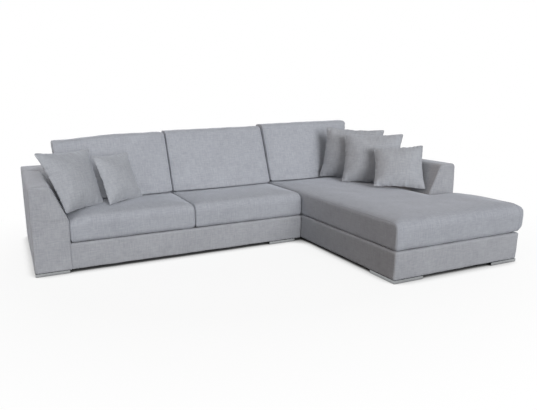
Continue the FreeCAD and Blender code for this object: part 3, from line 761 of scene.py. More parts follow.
@dataclass(frozen=True)
class MattSheet:
    """A felt, a non-woven cloth, a foam or an elastic strap.

    Attributes:
        name: the finish's name.
        ground: the main colour.
        fleck: the colour of the specks, pores or ribs.
        grain: how often the pattern repeats, for each metre.
        ribs: whether the pattern is ribs along the strap.
        height: the depth of the relief.
    """

    name: str
    ground: Colour
    fleck: Colour
    grain: float
    ribs: bool
    height: float

    def make(self) -> bpy.types.Material:
        """Returns the material, with its specks or ribs.

        Returns:
            The material.
        """
        shader = Shader(self.name)
        shader.set(Roughness=0.95, Specular_IOR_Level=0.15)
        specks = shader.noise(shader.place(), self.grain, 3.0, 0.7)
        share = shader.reach(specks, 0.38, 0.66)
        if self.ribs:
            bands = shader.wave(shader.place(), "X", self.grain * 0.3, 0.1)
            share = shader.combine("MULTIPLY", bands, shader.reach(specks, 0.0, 1.0, 0.7, 1.0))
        shader.colour(shader.blend(share, self.ground, self.fleck))
        shader.relief(share, 0.5, self.height)
        return shader.material


@dataclass(frozen=True)
class Metal:
    """A bare or plated metal.

    Attributes:
        name: the finish's name.
        tint: the metal's colour.
        gloss: the roughness of the polished places.
        wear: how much rougher the dull places are.
    """

    name: str
    tint: Colour
    gloss: float
    wear: float

    def make(self) -> bpy.types.Material:
        """Returns the material, with faint wipe marks in its polish.

        Returns:
            The material.
        """
        shader = Shader(self.name)
        shader.set(Metallic=1.0)
        marks = shader.noise(shader.place((18.0, 18.0, 160.0)), 1.0, 4.0, 0.6)
        shader.join(shader.reach(marks, 0.3, 0.75, self.gloss, self.gloss + self.wear),
                    shader.surface.inputs["Roughness"])
        spots = shader.noise(shader.place(), 60.0, 3.0)
        dull = tuple(channel * 0.86 for channel in self.tint)
        shader.colour(shader.blend(shader.reach(spots, 0.45, 0.8), self.tint, dull))
        shader.relief(marks, 0.05, 0.0002)
        return shader.material


@dataclass(frozen=True)
class MouldedPlastic:
    """A moulded plastic with a fine texture.

    Attributes:
        name: the finish's name.
        tint: the plastic's colour.
        roughness: how dull it is.
    """

    name: str
    tint: Colour
    roughness: float

    def make(self) -> bpy.types.Material:
        """Returns the material, with its mould texture.

        Returns:
            The material.
        """
        shader = Shader(self.name)
        shader.set(Roughness=self.roughness, Specular_IOR_Level=0.45)
        texture = shader.noise(shader.place(), 900.0, 2.0)
        paler = tuple(min(1.0, channel * 1.25 + 0.01) for channel in self.tint)
        shader.colour(shader.blend(shader.reach(texture, 0.3, 0.8), self.tint, paler))
        shader.relief(texture, 0.2, 0.0003)
        return shader.material


FRAME_FABRIC = WovenFabric("frame_fabric", (0.365, 0.370, 0.392), (0.262, 0.266, 0.286), 0.30, 0.45)
CUSHION_FABRIC = WovenFabric("cushion_fabric", (0.370, 0.380, 0.412), (0.268, 0.277, 0.304), 0.34, 0.5)
PILLOW_FABRIC = WovenFabric("pillow_fabric", (0.378, 0.388, 0.414), (0.276, 0.284, 0.306), 0.36, 0.55)
# The seam cords are a lighter colour than the cloth about them: a painted highlight along the sewn
# ridges.
FRAME_SEAM_HIGHLIGHT = WovenFabric("frame_seam", (0.385, 0.395, 0.425), (0.320, 0.330, 0.360), 0.30, 0.2)
CUSHION_SEAM_HIGHLIGHT = WovenFabric("cushion_seam", (0.390, 0.402, 0.438), (0.330, 0.342, 0.378), 0.34, 0.2)

HIDDEN_FINISHES = {
    "timber": SawnWood("timber", (0.62, 0.45, 0.26), (0.40, 0.25, 0.12), 55.0, 0.35),
    "board": SawnWood("board", (0.58, 0.44, 0.29), (0.44, 0.31, 0.18), 18.0, 0.55),
    "webbing": MattSheet("webbing", (0.030, 0.030, 0.032), (0.085, 0.080, 0.075), 900.0, True, 0.0006),
    "deck_felt": MattSheet("deck_felt", (0.30, 0.30, 0.31), (0.20, 0.20, 0.21), 420.0, False, 0.0006),
    "dust_cloth": MattSheet("dust_cloth", (0.012, 0.012, 0.013), (0.030, 0.030, 0.031), 700.0, False,
                            0.0003),
    "foam": MattSheet("foam", (0.72, 0.63, 0.42), (0.52, 0.43, 0.26), 650.0, False, 0.0008),
    # The feet's tint is kept dark as painted shade: it stands in for the shadowed underside that the
    # chrome reflects.
    "polished_feet": Metal("polished_feet", (0.36, 0.37, 0.38), 0.09, 0.14),
    "glide_plastic": MouldedPlastic("glide_plastic", (0.020, 0.020, 0.021), 0.5),
    "screw_steel": Metal("screw_steel", (0.62, 0.61, 0.59), 0.25, 0.2),
    "plate_steel": Metal("plate_steel", (0.56, 0.57, 0.58), 0.32, 0.25),
    "bush_plastic": MouldedPlastic("bush_plastic", (0.72, 0.71, 0.67), 0.45),
}


class FinishStore:
    """Makes each material once and hands it out."""

    def __init__(self) -> None:
        """Starts with no material made."""
        self.made: dict[str, bpy.types.Material] = {}

    def give(self, finish: object) -> bpy.types.Material:
        """Returns the material of a finish.

        Args:
            finish: the finish.

        Returns:
            Its material, made once.
        """
        if finish.name not in self.made:
            self.made[finish.name] = finish.make()
        return self.made[finish.name]

    def dress(self, piece: bpy.types.Object, finish: object, slot: str) -> None:
        """Gives a new piece its only material.

        Args:
            piece: the object to work on.
            finish: the finish.
            slot: the record's slot for it; not used.
        """
        piece.data.materials.clear()
        piece.data.materials.append(self.give(finish))

    def fit(self, piece: bpy.types.Object, finish: object, slot: str, body: str, *nodes: str) -> None:
        """Dresses a new piece and puts it on its body, in the place of its nodes.

        Args:
            piece: the new piece.
            finish: its finish.
            slot: the record's slot for it.
            body: the body that it rides on.
            nodes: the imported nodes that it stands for, if any.
        """
        self.dress(piece, finish, slot)
        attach(piece, body)
        if nodes:
            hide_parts(*nodes)

    def dress_nodes(self) -> None:
        """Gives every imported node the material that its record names."""
        for name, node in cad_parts.items():
            for slot in node.material_slots:
                label = slot.material.name.split(".")[0] if slot.material else ""
                finish = HIDDEN_FINISHES.get(label)
                if finish is None:
                    finish = PILLOW_FABRIC if "pillow" in name else CUSHION_FABRIC
                slot.material = self.give(finish)


@dataclass(frozen=True)
class Fill:
    """How a sewn skin is blown up by its filling.

    Attributes:
        pressure: the push of the filling on the skin.
        cap: the furthest that a point may move along each axis.
        frames: how many steps the simulation takes.
        shrink: how far the cloth draws in, negative where it gives.
        mass: the cloth's weight.
        bending: how hard it is to fold.
        stiffness: how hard it is to stretch or press.
    """

    pressure: float = 4.0
    cap: Point = (0.003, 0.012, 0.012)
    frames: int = 20
    shrink: float = 0.0
    mass: float = 0.3
    bending: float = 0.5
    stiffness: float = 15.0

    def inflate(self, piece: bpy.types.Object) -> None:
        """Runs the cloth and keeps its capped result as the piece's own shape.

        Args:
            piece: the closed skin to fill.
        """
        pick(piece)
        cloth = piece.modifiers.new("Cloth", "CLOTH")
        settings = cloth.settings
        settings.use_pressure = True
        settings.uniform_pressure_force = self.pressure
        settings.effector_weights.gravity = 0
        settings.mass = self.mass
        settings.bending_stiffness = self.bending
        settings.tension_stiffness = settings.compression_stiffness = self.stiffness
        settings.shrink_min = self.shrink
        cloth.collision_settings.use_collision = False
        scene = bpy.context.scene
        for step in range(1, self.frames + 1):
            scene.frame_set(step)
        held = piece.evaluated_get(bpy.context.evaluated_depsgraph_get())
        moved = read_points(held)
        piece.modifiers.remove(cloth)
        scene.frame_set(1)
        rest = read_points(piece)
        cap = numpy.array(self.cap)
        write_points(piece, rest + cap * numpy.tanh((moved - rest) / cap))


@dataclass
class Arm:
    """An upholstered arm: flat on top, with an inner face that leans away from the seat.

    Attributes:
        node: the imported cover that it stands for.
        body: the body that it rides on.
        side: the end of the sofa that it stands at.
        outer_round: the round along the outer top edge.
        inner_round: the round along the inner top edge.
        front_round: the round about the front panel.
        voxel: the size of the skin's quads.
        wave: the length and the height of the padding's ripples.
        seam_inset: how far the front seam lies behind the front.
        seam_radius: the radius of the front seam.
    """

    node: str
    body: str
    side: Side
    outer_round: float = 0.028
    inner_round: float = 0.020
    front_round: float = 0.013
    voxel: float = 0.0095
    wave: tuple[float, float] = (0.16, 0.0022)
    seam_inset: float = 0.010
    seam_radius: float = 0.0016

    def __post_init__(self) -> None:
        """Reads the arm's space from the frame."""
        self.low, self.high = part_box(self.node)
        self.sign = self.side.value
        self.outer = self.low.x if self.side is Side.LEFT else self.high.x
        self.inner = self.high.x if self.side is Side.LEFT else self.low.x
        self.top_inner = self.outer - self.sign * ARM_TOP_WIDTH
        self.rear_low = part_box("left_back_cover")[0].y
        self.rear_high = CAD_BOX[1].y - BACK_TOP_DEPTH

    def form(self, name: str, inset: float, bottom: float) -> bpy.types.Object:
        """Builds the arm's plain wedge form.

        Args:
            name: the object's name.
            inset: how far every face lies inside the cover's own.
            bottom: the height of the underside.

        Returns:
            The form, a closed mesh.
        """
        low = (self.low.x + inset, self.low.y + inset, bottom)
        high = (self.high.x - inset, self.high.y, self.high.z - inset)
        piece = block(name, low, high)
        slice_across(piece, (0, 0, SEAT_LINE), (0, 0, 1))
        inner, top = self.inner + self.sign * inset, high[2]
        shift(piece, lambda at: near(at.x, inner) and near(at.z, top),
              (self.top_inner + self.sign * inset - inner, 0, 0))
        shift(piece, lambda at: near(at.y, high[1]) and at.z < SEAT_LINE + SNUG,
              (0, self.rear_low - self.rear_high, 0))
        return piece

    def build(self, store: FinishStore) -> None:
        """Makes the padded cover, its seam and their finish.

        Args:
            store: the finishes to draw from.
        """
        piece = self.form(self.node.replace("cover", "upholstery"), 0.0, self.low.z)
        outer, top, front = self.outer, self.high.z, self.low.y
        top_inner, inner = self.top_inner, self.inner
        bevel(piece, lambda at: near(at.x, outer) and near(at.z, top), self.outer_round, 7)
        bevel(piece, lambda at: near(at.x, top_inner) and near(at.z, top), self.inner_round, 6)
        bevel(piece, lambda at: near(at.y, front) and at.z > self.low.z + SNUG, self.front_round, 4)
        bevel(piece, lambda at: near(at.y, front) and near(at.x, outer), self.front_round, 4)
        remesh(piece, self.voxel, 2)
        ripple(piece, *self.wave, 3.1 * self.sign)
        self.settle(piece)
        cut_with(piece, self.form("cutter", PADDING, DECK_LINE))
        under = sorted((outer - self.sign * PADDING, inner - self.sign * PAST))
        cut_away(piece, (under[0], front + PADDING, 0.0), (under[1], self.high.y + PAST, CAVITY_TOP))
        self.finish(piece, store)
        trims = [((top_inner, 0, 0), (-self.sign, 0, 0)), ((0, 0, 0.03), (0, 0, 1))]
        seam = section_cord(piece, self.node.replace("cover", "front_seam"),
                            (0, front + self.seam_inset, 0), (0, 1, 0), self.seam_radius, trims)
        store.fit(seam, FRAME_SEAM_HIGHLIGHT, "frame_fabric", self.body)

    def settle(self, piece: bpy.types.Object) -> None:
        """Sinks the top where the arm's padding meets the back's.

        Args:
            piece: the object to work on.
        """
        points = read_points(piece)
        sink_corner(points, self.outer, self.sign, self.rear_high)
        write_points(piece, points)

    def finish(self, piece: bpy.types.Object, store: FinishStore) -> None:
        """Shades, maps and dresses the cover.

        Args:
            piece: the object to work on.
            store: the finishes to draw from.
        """
        shade(piece, 50)
        lay_weave(piece)
        store.fit(piece, FRAME_FABRIC, "frame_fabric", self.body, self.node)
        log.info("arm %s: %d vertices", piece.name, len(piece.data.vertices))


def sink_corner(points: numpy.ndarray, outer: float, sign: int, joint: float) -> None:
    """Lowers the upholstery in a soft dip where an arm runs into the back.

    Args:
        points: the skin's points, changed in place.
        outer: the X of the sofa's outer face.
        sign: the end of the sofa, as the sign of X.
        joint: the Y of the line where arm and back meet on top.
    """
    depth, reach = 0.026, 0.055
    start, end = 0.03, 0.17
    inward = (outer - points[:, 0]) * sign
    beyond = 1.0 - smooth_step(inward, end + 0.10, end + 0.30)
    share = smooth_step(inward, start, end) * beyond
    across = numpy.exp(-((points[:, 1] - joint + 0.02) / reach) ** 2)
    high = smooth_step(points[:, 2], SEAT_LINE, ARM_TOP)
    points[:, 2] -= depth * share * across * high


@dataclass
class Back:
    """An upholstered back, with a front face that leans from the seat to the top.

    Attributes:
        node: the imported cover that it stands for.
        body: the body that it rides on.
        side: the end of the sofa that it closes.
        outer_round: the round along the outer top edges.
        corner_round: the round down the outer corner.
        front_round: the round along the front top edge.
        voxel: the size of the skin's quads.
        wave: the length and the height of the padding's ripples.
        seam_inset: how far the top seam lies in front of the rear.
        seam_radius: the radius of the top seam.
    """

    node: str
    body: str
    side: Side
    outer_round: float = 0.028
    corner_round: float = 0.045
    front_round: float = 0.022
    voxel: float = 0.011
    wave: tuple[float, float] = (0.18, 0.0022)
    seam_inset: float = 0.035
    seam_radius: float = 0.0014

    def __post_init__(self) -> None:
        """Reads the back's space from the frame."""
        self.low, self.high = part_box(self.node)
        self.sign = self.side.value
        self.outer = self.low.x if self.side is Side.LEFT else self.high.x
        self.top_front = self.high.y - BACK_TOP_DEPTH

    def form(self, name: str, inset: float, bottom: float) -> bpy.types.Object:
        """Builds the back's plain wedge form.

        Args:
            name: the object's name.
            inset: how far every face lies inside the cover's own.
            bottom: the height of the underside.

        Returns:
            The form, a closed mesh.
        """
        ends = [self.low.x + min(inset, LINING), self.high.x - min(inset, LINING)]
        outer_end = 0 if self.side is Side.LEFT else 1
        ends[outer_end] = self.outer - self.sign * inset
        low = (ends[0], self.low.y + inset, bottom)
        high = (ends[1], self.high.y - inset, self.high.z - inset)
        piece = block(name, low, high)
        slice_across(piece, (0, 0, SEAT_LINE), (0, 0, 1))
        shift(piece, lambda at: near(at.y, low[1]) and near(at.z, high[2]),
              (0, self.top_front + inset - low[1], 0))
        return piece

    def build(self, store: FinishStore) -> None:
        """Makes the padded cover, its seams and their finish.

        Args:
            store: the finishes to draw from.
        """
        piece = self.form(self.node.replace("cover", "upholstery"), 0.0, self.low.z)
        outer, top, rear, front = self.outer, self.high.z, self.high.y, self.top_front
        bevel(piece, lambda at: near(at.x, outer) and near(at.y, rear), self.corner_round, 7)
        bevel(piece, lambda at: near(at.z, top) and (near(at.x, outer) or at.y > rear - 0.03),
              self.outer_round, 7)
        bevel(piece, lambda at: near(at.z, top) and near(at.y, front), self.front_round, 6)
        remesh(piece, self.voxel, 2)
        ripple(piece, *self.wave, 7.7 * self.sign)
        points = read_points(piece)
        sink_corner(points, outer, self.sign, front)
        write_points(piece, points)
        cut_with(piece, self.form("cutter", PADDING, DECK_LINE))
        under = sorted((outer - self.sign * PADDING, self.joint_end() + self.sign * LINING))
        cut_away(piece, (under[0], self.low.y - PAST, 0.0), (under[1], rear - PADDING, CAVITY_TOP))
        shade(piece, 50)
        lay_weave(piece)
        store.fit(piece, FRAME_FABRIC, "frame_fabric", self.body, self.node)
        seam = section_cord(piece, self.node.replace("cover", "top_seam"),
                            (0, rear - self.seam_inset, 0), (0, 1, 0), self.seam_radius,
                            [((0, 0, top - PAST), (0, 0, 1))])
        store.fit(seam, FRAME_SEAM_HIGHLIGHT, "frame_fabric", self.body)
        log.info("back %s: %d vertices", piece.name, len(piece.data.vertices))

    def joint_end(self) -> float:
        """Returns the X of the end that meets the other section."""
        return self.high.x if self.side is Side.LEFT else self.low.x


@dataclass
class BaseBand:
    """The upholstered band about the base, below the seat cushions.

    Attributes:
        node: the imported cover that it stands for.
        body: the body that it rides on.
        cavity: the lowest and highest corner of the space inside.
        openings: further spaces where the band stops.
        seams: the X of each upright seam on the front.
        tuck: how far its left end is tucked in behind the arm.
        edge_round: the round along the top edge.
        draw_in: how far the foot of the band is pulled under.
        draw_height: the height over which it is pulled.
        voxel: the size of the skin's quads.
        wave: the length and the height of the padding's ripples.
        seam_radius: the radius of a seam.
    """

    node: str
    body: str
    cavity: tuple[Point, Point]
    openings: Sequence[tuple[Point, Point]] = ()
    seams: Sequence[float] = ()
    tuck: float = 0.0
    edge_round: float = 0.009
    draw_in: float = 0.004
    draw_height: float = 0.09
    voxel: float = 0.0085
    wave: tuple[float, float] = (0.12, 0.0022)
    seam_radius: float = 0.0014

    def build(self, store: FinishStore) -> None:
        """Makes the band, its seams and their finish.

        Args:
            store: the finishes to draw from.
        """
        low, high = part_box(self.node)
        start = low - Vector((self.tuck, 0, 0))
        piece = block(self.node.replace("cover", "upholstery"), start, high)
        bevel(piece, lambda at: near(at.z, high.z), self.edge_round, 4, 0)
        bevel(piece, lambda at: near(at.z, low.z), self.edge_round, 4, 0)
        if not self.tuck:
            bevel(piece, lambda at: near(at.y, low.y), self.edge_round, 4, 2)
        remesh(piece, self.voxel, 1)
        ripple(piece, *self.wave, low.x)
        points = read_points(piece)
        share = 1.0 - smooth_step(points[:, 2], low.z, low.z + self.draw_height)
        points[:, 1] += self.draw_in * share * (points[:, 1] < low.y + PADDING)
        write_points(piece, points)
        for space in (self.cavity, *self.openings):
            cut_away(piece, *space)
        shade(piece, 50)
        lay_weave(piece)
        store.fit(piece, FRAME_FABRIC, "frame_fabric", self.body, self.node)
        for index, place in enumerate(self.seams):
            seam = section_cord(piece, f"{self.node.replace('cover', 'seam')}_{index + 1}",
                                (place, 0, 0), (1, 0, 0), self.seam_radius,
                                [((0, low.y + 0.012, 0), (0, -1, 0))])
            store.fit(seam, FRAME_SEAM_HIGHLIGHT, "frame_fabric", self.body)
        log.info("base %s: %d vertices", piece.name, len(piece.data.vertices))


@dataclass
class Underside:
    """The black cloth that is stapled under the rails of a section.

    Attributes:
        node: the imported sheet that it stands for.
        covers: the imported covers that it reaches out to, whose outer faces it stays inside.
        body: the body that it rides on.
        hem: how far it stays inside the covers' outer faces.
        thickness: the thickness of the cloth.
        sag: how far it hangs between the rails.
    """

    node: str
    covers: Sequence[str]
    body: str
    hem: float = 0.012
    thickness: float = 0.0012
    sag: float = 0.003

    def build(self, store: FinishStore) -> None:
        """Makes the cloth and its finish.

        Args:
            store: the finishes to draw from.
        """
        boxes = [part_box(cover) for cover in self.covers]
        low = Vector(min(box[0][axis] for box in boxes) + self.hem for axis in range(3))
        high = Vector(max(box[1][axis] for box in boxes) - self.hem for axis in range(3))
        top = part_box(self.node)[0].z + 0.0004
        piece = block(f"{self.node}_cloth", (low.x, low.y, top - self.thickness), (high.x, high.y, top))
        with editing(piece):
            bpy.ops.mesh.select_all(action="SELECT")
            bpy.ops.mesh.subdivide(number_cuts=24)
        points = read_points(piece)
        middle = (points[:, 0] - low.x) * (high.x - points[:, 0]) / ((high.x - low.x) / 2) ** 2
        middle *= (points[:, 1] - low.y) * (high.y - points[:, 1]) / ((high.y - low.y) / 2) ** 2
        points[:, 2] -= self.sag * middle.clip(0.0)
        write_points(piece, points)
        lay_weave(piece)
        store.fit(piece, HIDDEN_FINISHES["dust_cloth"], "dust_cloth", self.body, self.node)


@dataclass
class SeatCushion:
    """A box cushion with a crowned top and a soft, rolled front edge.

    Attributes:
        node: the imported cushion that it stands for.
        body: the body that it rides on.
        edge_height: the height of the top's seams.
        crown: how far the middle of the top stands over them.
        crown_reach: how far from the edge the crown is full.
        front_round: the round of the front top edge.
        voxel: the size of the skin's quads.
        fill: how tight the filling is.
        notch: the corner that an arm takes, as its X and Y, if any.
        sag: the X of the end where the top falls towards an arm, if any.
        margin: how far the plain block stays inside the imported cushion.
        side_round: the round of the other top edges and of the foot.
        rest_line: the Y behind which a back cushion presses the top down.
        rest_height: the height of the top there.
        overhang: how far the free front corner bulges past its base.
        cover_depth: how far the foam lies inside the cover.
        seam_inset: how far a side seam lies inside the cushion's side.
        seam_radius: the radius of a side seam.
    """

    node: str
    body: str
    edge_height: float = 0.381
    crown: float = 0.030
    crown_reach: float = 0.26
    front_round: float = 0.050
    voxel: float = 0.013
    fill: Fill = field(default_factory=lambda: Fill(4.0, (0.002, 0.007, 0.012)))
    notch: tuple[float, float] | None = None
    sag: float | None = None

    margin: float = 0.003
    side_round: float = 0.010
    rest_line: float = 0.455
    rest_height: float = 0.3965
    overhang: float = 0.034
    cover_depth: float = 0.010
    seam_inset: float = 0.010
    seam_radius: float = 0.0028

    def outline_distance(self, points: numpy.ndarray, low: Vector, high: Vector) -> numpy.ndarray:
        """Returns how far each point lies inside the cushion's outline, in plan.

        Args:
            points: the skin's points, one row each.
            low: the outline's lowest corner.
            high: the outline's highest corner.

        Returns:
            The distances.
        """
        x, y = points[:, 0], points[:, 1]
        inside = numpy.minimum.reduce([x - low.x, high.x - x, y - low.y])
        if self.notch is not None:
            away = numpy.maximum(self.notch[0] - x, self.notch[1] - y)
            inside = numpy.minimum(inside, away)
        return numpy.maximum(inside, 0.0)

    def build(self, store: FinishStore) -> None:
        """Makes the cushion, blows it up, and sews its seams.

        Args:
            store: the finishes to draw from.
        """
        low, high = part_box(self.node)
        start = low + Vector((self.margin,) * 3)
        start.z = low.z
        stop = high - Vector((self.margin,) * 3)
        stop.z = self.edge_height
        piece = self.plain(start, stop)
        bevel(piece, lambda at: near(at.z, stop.z) and near(at.y, start.y), self.front_round, 8, 0)
        bevel(piece, lambda at: near(at.z, stop.z), self.side_round, 3)
        bevel(piece, lambda at: near(at.z, start.z), self.side_round, 3)
        remesh(piece, self.voxel, 1)
        points = read_points(piece)
        inside = self.outline_distance(points, start, stop)
        rise = 1.0 - (1.0 - numpy.clip(inside / self.crown_reach, 0.0, 1.0)) ** 2.4
        height = smooth_step(points[:, 2], start.z, stop.z)
        points[:, 2] += self.crown * rise * height
        write_points(piece, points)
        self.fill.inflate(piece)
        points = read_points(piece)
        self.settle(points, height, low, high)
        write_points(piece, points)
        ripple(piece, 0.11, 0.0020, low.x * 3)
        self.foam(piece, store)
        apply_modifier(piece, "SUBSURF", levels=1, render_levels=1)
        self.dress(piece, store, low, high)

    def settle(self, points: numpy.ndarray, height: numpy.ndarray, low: Vector, high: Vector) -> None:
        """Presses the skin against what lies behind, below and beside it.

        Args:
            points: the skin's points, changed in place.
            height: each point's share of the block's height.
            low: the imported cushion's lowest corner.
            high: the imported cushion's highest corner.
        """
        points[:, 0] = spread(points[:, 0], low.x + SNUG, high.x - SNUG)
        points[:, 1] = spread(points[:, 1], low.y, high.y)
        blend = smooth_step(points[:, 1], self.rest_line - 0.10, self.rest_line)
        ceiling = (high.z + 0.004) * (1 - blend) + self.rest_height * blend
        points[:, 2] = hold_below(points[:, 2], ceiling, 0.010)
        points[:, 2] = hold_above(points[:, 2], low.z, 0.004)
        if self.sag is not None:
            close = 1.0 - smooth_step(numpy.abs(points[:, 0] - self.sag), 0.0, 0.16)
            points[:, 2] -= 0.016 * close * height
        if self.notch is not None:
            beyond = smooth_step(points[:, 0], high.x - 0.25, high.x)
            beyond *= smooth_step(points[:, 2], low.z, low.z + 0.05)
            points[:, 0] += self.overhang * beyond * (1.0 - smooth_step(points[:, 1], -0.80, -0.56))
            self.keep_out(points)

    def foam(self, cover: bpy.types.Object, store: FinishStore) -> None:
        """Makes the foam block that fills the cover.

        Args:
            cover: the finished cover.
            store: the finishes to draw from.
        """
        core = self.node.replace("cushion", "core")
        block_of_foam = duplicate(cover, f"{core}_foam")
        shrunk = read_points(block_of_foam) - read_normals(block_of_foam) * self.cover_depth
        write_points(block_of_foam, shrunk)
        shade(block_of_foam, 60)
        store.fit(block_of_foam, HIDDEN_FINISHES["foam"], "foam", self.body, core)

    def plain(self, start: Vector, stop: Vector) -> bpy.types.Object:
        """Builds the plain block, with the corner beside an arm left out.

        Args:
            start: the block's lowest corner.
            stop: the block's highest corner.

        Returns:
            The block.
        """
        name = f"{self.node}_cover"
        if self.notch is None:
            return block(name, start, stop)
        edge, line = self.notch[0] - self.margin, self.notch[1] - self.margin
        piece = block(name, start, (edge, stop.y, stop.z))
        slice_across(piece, (0, line, 0), (0, 1, 0))
        with editing(piece):
            choose(piece, Part.FACES, lambda at: near(at.x, edge) and at.y < line + SNUG)
            bpy.ops.mesh.extrude_region_move(
                TRANSFORM_OT_translate={"value": (stop.x - edge, 0, 0)})
        return piece

    def keep_out(self, points: numpy.ndarray) -> None:
        """Holds the skin out of the corner that the arm stands in.

        Args:
            points: the skin's points, changed in place.
        """
        x, y = points[:, 0], points[:, 1]
        side, line = self.notch
        beside = (y > line) & (x > side - PAST) & (x - side < y - line)
        points[beside, 0] = numpy.minimum(points[beside, 0], side - 0.001)
        before = (x > side) & (y > line - PAST) & ~beside
        points[before, 1] = numpy.minimum(points[before, 1], line - 0.001)

    def dress(self, piece: bpy.types.Object, store: FinishStore, low: Vector, high: Vector) -> None:
        """Shades the cushion, sews its side seams and gives both their finish.

        Args:
            piece: the object to work on.
            store: the finishes to draw from.
            low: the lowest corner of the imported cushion.
            high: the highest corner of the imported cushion.
        """
        shade(piece, 60)
        lay_weave(piece)
        store.fit(piece, CUSHION_FABRIC, "cushion_fabric", self.body, self.node)
        trims = [((0, 0, low.z + 0.010), (0, 0, 1))]
        if self.notch is not None:
            trims.append(((0, self.notch[1] - 0.016, 0), (0, -1, 0)))
        for word, place in (("left", low.x + self.seam_inset), ("right", high.x - self.seam_inset)):
            seam = section_cord(piece, f"{self.node}_{word}_seam", (place, 0, 0), (1, 0, 0),
                                self.seam_radius, trims if word == "right" else trims[:1])
            store.fit(seam, CUSHION_SEAM_HIGHLIGHT, "cushion_fabric", self.body)
        log.info("seat %s: %d vertices", piece.name, len(piece.data.vertices))


@dataclass
class BackCushion:
    """A plump back cushion that leans on the back and rolls over its foot.

    Attributes:
        node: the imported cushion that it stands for.
        body: the body that it rides on.
        foot_front: the Y of the front seam at the foot.
        top_front: the Y of the front seam at the top.
        top_height: the height of the top seam.
        end_fall: how far the top falls at the left end.
        belly: how far the front swells low down.
        foot_end: how far the right end stands in at the foot.
        lean: how far the left and the right end lean outward at the top.
        voxel: the size of the skin's quads.
        fill: how tight the filling is.
        margin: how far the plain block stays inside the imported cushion.
        foot_depth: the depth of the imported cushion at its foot.
        knees: the heights where the rear may bend, of which it follows the back up to the upper one.
        top_round: the round along the top.
        foot_round: the round along the foot and the ends.
        sink: how far the foot presses into the seat.
        rear_line: the Y of the back's face at the foot.
        rear_slope: how far the back's face leans for each metre up.
        fall_reach: how far the fall at the left end reaches.
        seam_inset: how far a side seam lies inside the cushion's side.
        seam_radius: the radius of a side seam.
    """

    node: str
    body: str
    foot_front: float
    top_front: float
    top_height: float
    end_fall: float = 0.0
    belly: float = 0.044
    foot_end: float = 0.0
    lean: tuple[float, float] = (0.0, 0.0)
    voxel: float = 0.013
    fill: Fill = field(default_factory=lambda: Fill(4.0, (0.002, 0.005, 0.003)))

    margin: float = 0.003
    foot_depth: float = 0.216
    knees: tuple[float, float] = (0.50, 0.63)
    top_round: float = 0.034
    foot_round: float = 0.012
    sink: float = 0.007
    rear_line: float = 0.746
    rear_slope: float = 0.3795
    fall_reach: float = 0.55
    seam_inset: float = 0.010
    seam_radius: float = 0.0028

    def build(self, store: FinishStore) -> None:
        """Makes the cushion, blows it up, and sews its seams.

        Args:
            store: the finishes to draw from.
        """
        low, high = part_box(self.node)
        start = Vector((low.x + self.margin, self.foot_front + 0.004, low.z + 0.001 - self.sink))
        rear_foot, rear_top = low.y + self.foot_depth - 0.004, high.y - 0.010
        right = high.x - self.margin - self.foot_end
        stop = Vector((right, rear_foot, self.top_height))
        piece = block(f"{self.node}_cover", start, stop)
        for height in self.knees:
            slice_across(piece, (0, 0, height), (0, 0, 1))
        span = stop.z - start.z
        points = read_points(piece)
        share = (points[:, 2] - start.z) / span
        front = points[:, 1] < (start.y + stop.y) / 2
        points[front, 1] += (self.top_front - self.foot_front) * share[front]
        rise = numpy.clip((points[:, 2] - start.z) / (self.knees[1] - start.z), 0.0, 1.0)
        points[~front, 1] += (rear_top - rear_foot) * rise[~front]
        points[:, 0] += self.leant(points[:, 0], share, start.x, right)
        write_points(piece, points)
        bevel(piece, lambda at: near(at.z, stop.z), self.top_round, 6, 0)
        bevel(piece, lambda at: near(at.z, start.z), self.foot_round, 5, 0)
        bevel(piece, lambda at: near(at.z, stop.z), self.foot_round, 4)
        remesh(piece, self.voxel, 1)
        points = read_points(piece)
        share = (points[:, 2] - start.z) / span
        middle = (start.x + right) / 2 + (self.lean[1] - self.lean[0]) * share / 2
        across = numpy.clip(numpy.abs(points[:, 0] - middle) / ((right - start.x) / 2), 0.0, 1.0)
        body = (1.0 - across ** 3) * (1.0 - numpy.clip(share, 0.0, 1.0)) ** 0.9
        body *= 0.45 + 0.55 * numpy.exp(-(share / 0.40) ** 2)
        line = start.y + (self.top_front - self.foot_front) * share
        before = 1.0 - smooth_step(points[:, 1] - line, 0.0, 0.14)
        points[:, 1] -= self.belly * body * before
        write_points(piece, points)
        self.fill.inflate(piece)
        apply_modifier(piece, "SMOOTH", factor=0.5, iterations=5)
        self.settle(piece, low, high, span)
        ripple(piece, 0.085, 0.0030, low.x * 5)
        apply_modifier(piece, "SUBSURF", levels=1, render_levels=1)
        self.dress(piece, store, low, high)

    def leant(self, x: numpy.ndarray, share: numpy.ndarray, left: float, right: float) -> numpy.ndarray:
        """Returns how far each point moves to the right as the two ends lean outward."""
        across = numpy.clip((x - left) / (right - left), 0.0, 1.0)
        return share * (self.lean[1] * across - self.lean[0] * (1.0 - across))

    def settle(self, piece: bpy.types.Object, low: Vector, high: Vector, span: float) -> None:
        """Presses the cushion against the seat, the back and its neighbours.

        Args:
            piece: the object to work on.
            low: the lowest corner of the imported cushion.
            high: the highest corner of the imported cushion.
            span: the height of the plain block.
        """
        points = read_points(piece)
        share = numpy.clip((points[:, 2] - low.z) / span, 0.0, 1.2)
        points[:, 2] = hold_above(points[:, 2], low.z - self.sink, 0.003)
        points[:, 2] = hold_below(points[:, 2], high.z + 0.010, 0.012)
        leant = self.leant(points[:, 0], numpy.clip(share, 0.0, 1.0), low.x, high.x)
        upright = points[:, 0] - leant
        points[:, 0] = spread(upright, low.x + SNUG, high.x - self.foot_end - SNUG) + leant
        rear = numpy.minimum(self.rear_line + (points[:, 2] - low.z) * self.rear_slope, high.y)
        points[:, 1] = hold_below(points[:, 1], rear, 0.010)
        if self.end_fall:
            close = 1.0 - smooth_step(points[:, 0] - low.x, 0.0, self.fall_reach)
            points[:, 2] -= self.end_fall * close * smooth_step(share, 0.45, 1.0)
        write_points(piece, points)

